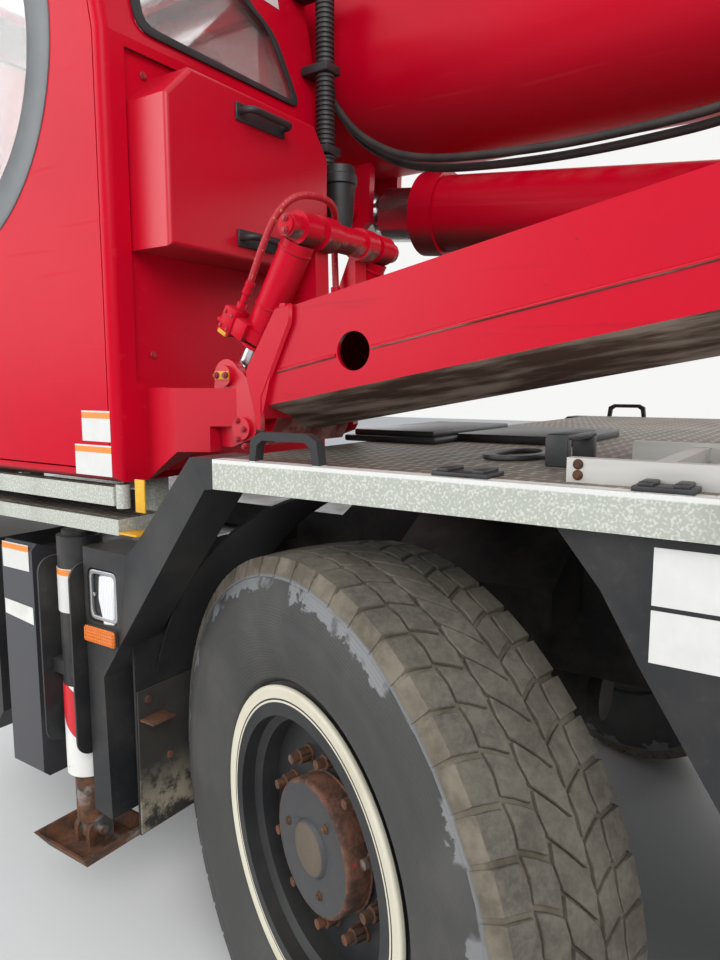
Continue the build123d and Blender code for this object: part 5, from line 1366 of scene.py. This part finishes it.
# Arm and tilt rams: weld beads and a fork plate on the arm, weld rings and a locking plate
# on each ram, and the red valve block that is clamped to the outer ram's barrel.
ARM_SIDE = 1.100
WELD_RADIUS = 0.0045
RAM_TOP = (-0.198, 1.984)
RAM_LOW = (-0.385, 1.671)
RAM_XS = (1.049, 0.751)
ARM_WELDS = (
    # start and end on the arm's outer face, along the crane and up
    ((-0.234, 1.6804), (-0.078, 1.7109)),
    ((0.010, 1.7250), (2.900, 2.2600)),
)
for (y0, z0), (y1, z1) in ARM_WELDS:
    bead = rod("arm_weld", at(ARM_SIDE, y0, z0), at(ARM_SIDE, y1, z1), WELD_RADIUS, 10)
    add(bead, "cab_arm", arm_paint)

FORK_PLATE = (
    (-0.322, 1.681),
    (-0.299, 1.596),
    (-0.291, 1.546),
    (-0.268, 1.546),
    (-0.268, 1.622),
    (-0.186, 1.782),
    (-0.184, 1.823),
    (-0.231, 1.817),
)
fork_corners = [at(ARM_SIDE + 0.0002, y, z) for y, z in FORK_PLATE]
fork_plate = sheet_of("fork_plate", fork_corners, 0.014, 0.006)
add(fork_plate, "cab_arm", arm_paint)

ram_line = Vector((0.0, RAM_TOP[0] - RAM_LOW[0], RAM_TOP[1] - RAM_LOW[1])).normalized()
ram_front = Vector((0.0, -ram_line.z, ram_line.y))


def on_ram(x, along, out):
    """A place by a ram: along it from its lower pin, and out to its front."""
    return at(x, *RAM_LOW) + ram_line * along + ram_front * out


for x in RAM_XS:
    for along, width in ((0.078, 0.008), (0.176, 0.006), (0.311, 0.007)):
        ring = rod("ram_weld", on_ram(x, along, 0), on_ram(x, along + width, 0), 0.0395, 32, 0.002)
        add(ring, "tilt_barrels", red_paint)
PIN_END = 1.1085
cap = rod("pin_plate", at(PIN_END, *RAM_TOP), at(PIN_END + 0.005, *RAM_TOP), 0.021, 24)
add(cap, "cab_arm", red_paint)
pin_centre = at(PIN_END + 0.007, *RAM_TOP)
heads = [pin_centre + ram_line * a + ram_front * o for a, o in ((0.012, 0.004), (-0.010, -0.008))]
bolts(heads, (0.016, 0.007, 0.004), "cab_arm", bolt_red)

CHEEK_PIN = 1.1160
retainer = block(
    "pin_retainer",
    at(CHEEK_PIN, RAM_LOW[0] - 0.022, RAM_LOW[1] - 0.009),
    at(CHEEK_PIN + 0.005, RAM_LOW[0] + 0.022, RAM_LOW[1] + 0.011),
)
add(retainer, "cab", marks_yellow)
heads = [at(CHEEK_PIN + 0.008, RAM_LOW[0] + y, RAM_LOW[1] + 0.001) for y in (-0.014, 0.014)]
bolts(heads, (0.014, 0.007, 0.003), "cab", bolt_red)
CHEEK_BOLTS = ((-0.3253, 1.5507), (-0.3434, 1.5274), (-0.322, 1.5122), (-0.3440, 1.5700))
heads = [at(CHEEK_PIN + 0.0015, y, z) for y, z in CHEEK_BOLTS]
bolts(heads, (0.013, 0.006, 0.002), "cab", bolt_red)


def ram_block(name, xs, alongs, outs, edge):
    """A block whose corners stand along the ram and out to its front, not level."""
    piece = block(name, (xs[0], alongs[0], outs[0]), (xs[1], alongs[1], outs[1]), edge)
    turn = Matrix(
        (
            (1, 0, 0, 0),
            (0, ram_line.y, ram_front.y, 0),
            (0, ram_line.z, ram_front.z, 0),
            (0, 0, 0, 1),
        )
    )
    piece.data.transform(Matrix.Translation(at(0, *RAM_LOW)) @ turn)
    face_outwards()
    return piece


for name, xs, alongs, outs, edge, paint in (
    ("valve_block", (1.062, 1.108), (0.078, 0.142), (0.038, 0.078), 0.004, red_paint),
    ("valve_foot", (1.066, 1.104), (0.088, 0.130), (0.0, 0.040), 0.002, red_paint),
    ("valve_mark", (1.066, 1.1095), (0.0765, 0.086), (0.044, 0.070), 0.001, marks_yellow),
):
    add(ram_block(name, xs, alongs, outs, edge), "tilt_barrels", paint)
VALVE_PARTS = (
    # x, along from and to, out from and to, radius, corners
    (1.085, 0.140, 0.160, 0.0514, 0.0514, 0.0120, 6),
    (1.085, 0.158, 0.183, 0.0514, 0.0514, 0.0085, 16),
    (1.085, 0.181, 0.192, 0.0514, 0.0514, 0.0115, 16),
    (1.085, 0.190, 0.201, 0.0514, 0.0514, 0.0105, 16),
    (1.085, 0.199, 0.211, 0.0514, 0.0514, 0.0115, 16),
    (1.072, 0.110, 0.110, 0.0770, 0.0960, 0.0090, 6),
    (1.096, 0.100, 0.100, 0.0770, 0.0900, 0.0070, 6),
    (1.072, 0.110, 0.110, 0.0950, 0.1040, 0.0060, 14),
)
for x, a0, a1, o0, o1, radius, corners in VALVE_PARTS:
    fitting = rod("valve_fitting", on_ram(x, a0, o0), on_ram(x, a1, o1), radius, corners, 0.001)
    add(fitting, "tilt_barrels", red_paint)
heads = [on_ram(PIN_END, along, out) for along in (0.094, 0.128) for out in (0.047, 0.069)]
bolts(heads, (0.009, 0.005, 0.001), "tilt_barrels", bolt_red)

# Return valve between the posts: a small block on the arm's top with a bright fitting.
RETURN_X = 0.868
base = block("return_block", at(0.850, -0.275, 1.765), at(0.935, -0.205, 1.822), 0.004)
add(base, "cab_arm", red_paint)
RETURN_STACK = ((1.820, 1.842, 0.014, 6), (1.840, 1.862, 0.0095, 16), (1.860, 1.884, 0.012, 16))
for z0, z1, radius, corners in RETURN_STACK:
    ends = at(RETURN_X, -0.245, z0), at(RETURN_X, -0.245, z1)
    fitting = rod("return_fitting", *ends, radius, corners, 0.001)
    add(fitting, "cab_arm", red_paint)
steel = plain_coat("bright_steel", (0.45, 0.45, 0.44), (0.6, 0.6, 0.58), 0.3, metal=0.9)
plug = rod("return_plug", at(0.918, -0.232, 1.820), at(0.918, -0.232, 1.842), 0.012, 6, 0.001)
add(plug, "cab_arm", steel)

# Tilt hose: rubber, painted over in red, with flecks where the paint came off. It is a
# curve on a route of given points, from the ram's valve to the arm's return valve.
hose_paint = Finish("hose_red")
flecks = hose_paint.noise(140.0, 4.0, rough=0.7).between(0.60, 0.66)
hose_red = hose_paint.shade(
    Base_Color=hose_paint.blend(flecks, (0.4, 0.006, 0.02), (0.62, 0.4, 0.12)),
    Roughness=0.5 + flecks * 0.2,
    Normal=hose_paint.bump(flecks, 0.001, 0.5),
)
hose_black = plain_coat("hose_black", (0.014, 0.013, 0.013), (0.04, 0.034, 0.03), 0.6)
HOSE_SECTION = 5


def hose(name, route, diameter, material):
    """A free hose as a curve: one smooth spline on its route's points."""
    line = bpy.data.curves.new(name, "CURVE")
    line.dimensions = "3D"
    line.resolution_u = 12
    spline = line.splines.new("NURBS")
    spline.points.add(len(route) - 1)
    for point, (x, along, z) in zip(spline.points, route):
        point.co = (*at(x, along, z), 1.0)
    spline.order_u = 3
    spline.use_endpoint_u = True
    line.bevel_depth = diameter / 2
    line.bevel_resolution = HOSE_SECTION
    line.use_fill_caps = True
    piece = bpy.data.objects.new(name, line)
    bpy.context.collection.objects.link(piece)
    line.materials.append(material)
    return piece


def spline_points(piece):
    """The points that a curve's line passes, read from the curve without its thickness."""
    bare = piece.copy()
    bare.data = piece.data.copy()
    bare.data.bevel_depth = 0.0
    bpy.context.collection.objects.link(bare)
    bpy.context.view_layer.update()
    ready = bare.evaluated_get(bpy.context.evaluated_depsgraph_get())
    line = bpy.data.meshes.new_from_object(ready)
    points = [tuple(vertex.co) for vertex in line.vertices]
    bpy.data.meshes.remove(line)
    bpy.data.objects.remove(bare)
    return points


def hang(name, route, diameter, material, body):
    """A hose, attached to its body; the points along its own line are read and not used."""
    piece = hose(name, route, diameter, material)
    points = spline_points(piece)
    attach(piece, body)


TILT_HOSE = 0.016
TILT_ROUTE = (
    (1.085, -0.3228, 1.8784),
    (1.088, -0.2900, 1.9400),
    (1.085, -0.2500, 2.0120),
    (1.060, -0.2150, 2.0560),
    (0.990, -0.1950, 2.0640),
    (0.925, -0.2050, 2.0560),
    (0.880, -0.2380, 2.0260),
    (0.866, -0.2500, 1.9700),
    (0.867, -0.2470, 1.9200),
    (0.868, -0.2450, 1.8830),
)
hang("tilt_hose", TILT_ROUTE, TILT_HOSE, hose_red, "tilt_barrels")

# Boom hoses: two black rubber hoses that hang in a flat bow under the boom's base
# section, between two clamps on its side.
BOOM_HOSE = 0.024
BOOM_BOW = (
    # along the crane, and up
    (-0.700, 2.620),
    (-0.640, 2.520),
    (-0.540, 2.420),
    (-0.360, 2.330),
    (-0.020, 2.300),
    (0.260, 2.300),
    (0.560, 2.320),
    (0.760, 2.400),
    (0.830, 2.520),
)
BOOM_ROUTES = (
    # name, place across the crane, how much lower it hangs
    ("boom_hose_near", 0.300, 0.0),
    ("boom_hose_far", 0.262, 0.02),
)
for name, x, drop in BOOM_ROUTES:
    route = [(x, along, z - drop) for along, z in BOOM_BOW]
    hang(name, route, BOOM_HOSE, hose_black, "boom_base")

# Deck fittings: the hard black grips, pads and covers are moulded in plastic, and are
# screwed on the tread plate; the ladder's two bolts are old iron.
GRIP_LOW = 1.4995
for y0, y1 in ((0.236, 0.338), (0.560, 0.646)):
    base = block("edge_pad", at(1.192, y0, GRIP_LOW), at(1.262, y1, 1.508), 0.002)
    add(base, "chassis", hard_black)
    ears = [
        block("edge_ear", at(1.196, y, 1.506), at(1.258, y + 0.022, 1.514), 0.003)
        for y in (y0 + 0.008, y1 - 0.030)
    ]
    add(join("edge_ears", ears), "chassis", hard_black)
legs = [
    block("cross_grip", at(x, 0.345, GRIP_LOW), at(x + 0.026, 0.388, 1.556), 0.004)
    for x in (0.998, 0.840)
]
legs.append(block("cross_bar", at(0.842, 0.345, 1.545), at(1.022, 0.388, 1.5605), 0.005))
add(join("cross_grip", legs), "chassis", hard_black)
OVAL = (0.870, 0.235)
outer = []
inner = []
for step in range(28):
    angle = 2 * math.pi * step / 28
    x, y = math.cos(angle), math.sin(angle)
    outer.append(at(OVAL[0] + 0.115 * x, OVAL[1] + 0.066 * y, 1.5008))
    inner.append(at(OVAL[0] + 0.088 * x, OVAL[1] + 0.040 * y, 1.5008))
oval = ring_of("folded_grip", outer, inner, (0.0, 0.0, 0.010), 0.003)
add(oval, "chassis", hard_black)
COVERS = (
    # low and high corners
    (at(0.160, -0.340, GRIP_LOW), at(0.700, -0.060, 1.516)),
    (at(0.190, -0.320, 1.515), at(0.680, -0.075, 1.532)),
    (at(0.140, -0.070, GRIP_LOW), at(0.560, 0.250, 1.522)),
)
for low, high in COVERS:
    add(block("deck_cover", low, high, 0.005), "chassis", hard_black)
heads = [at(1.2155, 0.468, z) for z in (1.5115, 1.5285)]
bolts(heads, (0.0135, 0.006, 0.002), "chassis", old_iron)

# Side plates: two blank white plates on the panel behind the front arch, and a small
# yellow bracket and strip at the cab step's end, all stuck or screwed on.
PANEL_SIDE = 1.2502
for name, z0, z1 in (("side_plate_upper", 1.334, 1.420), ("side_plate_lower", 1.248, 1.327)):
    plate_piece = sheet_of(name, upright(PANEL_SIDE, 0.594, 0.735, z0, z1), STICKER)
    both(plate_piece, "chassis", notice(name, z1 + 0.1, z1 + 0.09))
for name, low, high, edge in (
    ("step_strip", at(1.1995, -0.598, 1.347), at(1.2040, -0.564, 1.427), 0.001),
    ("step_end", at(1.150, -0.666, 1.284), at(1.2035, -0.600, 1.290), 0.002),
):
    add(block(name, low, high, edge), "cab", marks_yellow)

# Seat: a woven cover over foam, swelled by Blender's cloth with its seams pressed in
# after, on a moulded frame with a bellows, two armrests and a control stick on each.
SEAT_X = 0.7725
STICK_Y = -2.470
PAD_VOXEL = 0.008
PAD_FRAMES = 20
PAD_PRESSURE = 4.0
PAD_EDGE = 0.022
SEAM_HALF = 0.0065
SEAM_DEPTH = 0.006


def swelled(pad, cap, held_at):
    """Remeshes a pad, swells it with cloth up to a cap, and subdivides it once."""
    voxels = pad.modifiers.new("voxels", "REMESH")
    voxels.mode = "VOXEL"
    voxels.voxel_size = PAD_VOXEL
    bpy.ops.object.modifier_apply(modifier="voxels")
    before = [vertex.co.copy() for vertex in pad.data.vertices]
    held = pad.vertex_groups.new(name="held")
    held.add([v.index for v in pad.data.vertices if held_at(v.co)], 1.0, "REPLACE")
    cloth = pad.modifiers.new("cloth", "CLOTH")
    cloth.settings.quality = 4
    cloth.settings.use_pressure = True
    cloth.settings.uniform_pressure_force = PAD_PRESSURE
    cloth.settings.vertex_group_mass = "held"
    cloth.settings.effector_weights.gravity = 0.0
    cloth.collision_settings.use_collision = False
    for number in range(1, PAD_FRAMES + 1):
        bpy.context.scene.frame_set(number)
    bpy.ops.object.modifier_apply(modifier="cloth")
    for vertex, place in zip(pad.data.vertices, before):
        move = vertex.co - place
        if move.length > cap:
            vertex.co = place + move * (cap / move.length)
    pad.vertex_groups.clear()
    bpy.context.scene.frame_set(1)
    finer = pad.modifiers.new("finer", "SUBSURF")
    finer.levels = 1
    finer.render_levels = 1
    bpy.ops.object.modifier_apply(modifier="finer")
    return smooth(pad, 60)


def seamed(pad, seams, front):
    """Presses seams into a pad's front: each seam is an axis and a place on it."""
    for vertex in pad.data.vertices:
        for axis, place in seams:
            away = (vertex.co[axis] - place) / SEAM_HALF
            if abs(away) < 3 and vertex.normal.dot(front) > 0.3:
                vertex.co -= front * SEAM_DEPTH * math.exp(-away * away)
    pad.data.update()
    return pad


PADS = (
    # name, half width, side outline, cap, seams, front, held below or behind
    (
        "seat_cushion",
        0.228,
        ((-2.578, 1.760), (-2.102, 1.760), (-2.102, 1.856), (-2.560, 1.858), (-2.578, 1.840)),
        0.014,
        ((0, SEAT_X - 0.135), (0, SEAT_X + 0.135), (1, -2.34)),
        Vector((0, 0, 1)),
        lambda place: place.z < 1.768,
    ),
    (
        "seat_back",
        0.212,
        ((-2.132, 1.884), (-2.056, 1.884), (-2.004, 2.438), (-2.062, 2.438)),
        0.013,
        ((0, SEAT_X - 0.125), (0, SEAT_X + 0.125), (2, 2.12), (2, 2.30)),
        Vector((0, -1, 0)),
        lambda place: place.y > -2.062 + (place.z - 1.884) * 0.094,
    ),
    (
        "seat_headrest",
        0.110,
        ((-2.050, 2.470), (-2.002, 2.470), (-1.984, 2.600), (-2.042, 2.600)),
        0.010,
        ((0, SEAT_X - 0.060), (0, SEAT_X + 0.060)),
        Vector((0, -1, 0)),
        lambda place: False,
    ),
)
for name, half, side, cap, seams, front, held_at in PADS:
    outline = [(SEAT_X - half, y, z) for y, z in side]
    pad = sheet_of(name, outline, 2 * half, PAD_EDGE)
    if max(vertex.co.x for vertex in pad.data.vertices) < SEAT_X:
        pad.data.transform(Matrix.Translation((2 * half, 0, 0)))
    pad = seamed(swelled(pad, cap, held_at), seams, front)
    add(pad, "cab", seat_cloth)
    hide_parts("cab_seat")

frame_parts = [block("seat_frame", (0.62, -2.52, 1.452), (0.925, -2.12, 1.474), 0.006)]
for fold in range(5):
    inset = 0.012 * (fold % 2)
    z = 1.472 + fold * 0.046
    low, high = (0.645 + inset, -2.498 + inset, z), (0.900 - inset, -2.142 - inset, z + 0.048)
    frame_parts.append(block("bellows", low, high, 0.012))
frame_parts += [
    block("pan", (0.562, -2.572, 1.700), (0.983, -2.108, 1.764), 0.012),
    block("back_plate", (0.600, -2.066, 1.760), (0.945, -2.040, 1.930), 0.010),
]
for side in (-1, 1):
    middle = SEAT_X + side * 0.2675
    stalk = SEAT_X + side * 0.05
    frame_parts += [
        block("armrest", (middle - 0.0325, -2.510, 2.014), (middle + 0.0325, -2.100, 2.062), 0.018),
        block("arm_post", (middle - 0.020, -2.168, 1.790), (middle + 0.020, -2.104, 2.020), 0.008),
        block("arm_foot", (middle - 0.060, -2.164, 1.716), (middle + 0.060, -2.110, 1.796), 0.008),
        rod("stalk", (stalk, -2.030, 2.400), (stalk, -2.022, 2.500), 0.007),
    ]
    for name, z0, z1, radius, edge in (
        ("stick", 2.058, 2.110, 0.008, 0.0),
        ("grip", 2.086, 2.142, 0.0145, 0.006),
        ("boot", 2.058, 2.076, 0.026, 0.008),
    ):
        ends = (middle, STICK_Y, z0), (middle, STICK_Y, z1)
        frame_parts.append(rod(name, *ends, radius, edge=edge))
seat_frame = join("seat_frame", frame_parts)
add(smooth(seat_frame, 40), "cab", console_plastic)
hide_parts("cab_seat")

# Lamps at both ends: two round headlamps with chromed bezels in each front recess, and a
# three-coloured tail lamp in each rear one. They are bought parts, screwed in.
HEADLAMP_Z = 0.67
for x in (0.942, 1.056):
    ends = (x, -3.477, HEADLAMP_Z), (x, -3.508, HEADLAMP_Z)
    both(rod("headlamp_bezel", *ends, 0.0555, 40, 0.004), "chassis", rod_chrome)
    ends = (x, -3.479, HEADLAMP_Z), (x, -3.516, HEADLAMP_Z)
    front_lens = rod("headlamp_lens", *ends, 0.0485, 40, 0.010)
    both(front_lens, "chassis", clear_lens)
for name, x0, x1, colour in (
    ("tail_red", 0.858, 0.953, red_lens),
    ("tail_orange", 0.955, 1.045, orange_lens),
    ("tail_clear", 1.047, 1.142, clear_lens),
):
    tail = block(name, (x0, 4.2155, 0.718), (x1, 4.2315, 0.782), 0.005)
    both(tail, "chassis", colour)

# Hoist: 14 mm galvanised wire rope, greased and brown, lies in one layer on the drum, and
# two taut falls of it run from the middle head sheave to the stowed hook block.
ROPE = 0.014
ROPE_LAY = 0.151
rope_steel = Finish("wire_rope")
strands = rope_steel.noise(300.0, 2.0, (1.0, 1.0, 0.25))
rope_coat = rope_steel.shade(
    Base_Color=rope_steel.blend(strands, (0.035, 0.03, 0.025), (0.2, 0.185, 0.16)),
    Metallic=0.6,
    Roughness=0.5,
    Normal=rope_steel.bump(strands, 0.001, 0.7),
)
DRUM_CENTRE = (0, 3.320, 1.860)
WRAPS = 33
DRUM_HALF = WRAPS / 2 * ROPE
wraps = []
for turn in range(WRAPS):
    x = (turn - WRAPS // 2) * ROPE
    for dx, rise in ((-0.5, 0.5), (-0.28, 0.90), (0.0, 1.0), (0.28, 0.90)):
        wraps.append((x + dx * ROPE, ROPE_LAY + rise * ROPE))
wraps += [(DRUM_HALF, ROPE_LAY + 0.5 * ROPE), (DRUM_HALF, 0.148), (-DRUM_HALF, 0.148)]
wound = lathe("wound_rope", wraps, 48)
wound.data.transform(Matrix.Translation(DRUM_CENTRE))
add(smooth(wound, 50), "winch", rope_coat)
HOOK_SHEAVE_Z = 2.105
HEAD_SHEAVE_Z = 2.780
FALL_CUTS = 12
for name, head_y, hook_y in (("front_fall", -4.335, -4.262), ("rear_fall", -4.062, -4.098)):
    fall = rod(name, (0, head_y, HEAD_SHEAVE_Z), (0, hook_y, HOOK_SHEAVE_Z), ROPE / 2, 12)
    start_edit()
    for cut in range(1, FALL_CUTS):
        height = HOOK_SHEAVE_Z + cut * (HEAD_SHEAVE_Z - HOOK_SHEAVE_Z) / FALL_CUTS
        bpy.ops.mesh.select_all(action="SELECT")
        bpy.ops.mesh.bisect(plane_co=(0, 0, height), plane_no=(0, 0, 1), use_fill=False)
    end_edit()
    fall.data.materials.append(rope_coat)
    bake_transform(fall)

# Boom hoses' ends: a swaged steel ferrule on each end goes into a hard black clamp block
# bolted to the boom's side.
for name, x, drop in BOOM_ROUTES:
    for (along, z), (back, rise) in (
        (BOOM_BOW[0], (0.52, -0.86)),
        (BOOM_BOW[-1], (-0.5, -0.86)),
    ):
        tip = at(x, along, z - drop)
        inward = Vector((0, back, rise)).normalized()
        ends = tip - inward * 0.008, tip + inward * 0.052
        ferrule = rod(f"{name}_ferrule", *ends, 0.0150, 6, 0.002)
        add(ferrule, "boom_base", rod_chrome)
for along, z in (BOOM_BOW[0], BOOM_BOW[-1]):
    low, high = at(0.232, along - 0.032, z - 0.034), at(0.3135, along + 0.032, z + 0.030)
    add(block("hose_clamp", low, high, 0.006), "boom_base", hard_black)

# Windscreen wiper: a black arm and a rubber blade, pivoted under the glass.
wiper_parts = [
    rod("wiper_arm", (0.80, -3.542, 2.066), (0.66, -3.372, 2.480), 0.006, 10),
    rod("wiper_hub", (0.80, -3.517, 2.066), (0.80, -3.554, 2.066), 0.016),
    rod("wiper_blade", (0.672, -3.440, 2.30), (0.640, -3.318, 2.60), 0.008, 8),
]
wiper = smooth(join("windscreen_wiper", wiper_parts), 40)
add(wiper, "cab", seal_rubber)
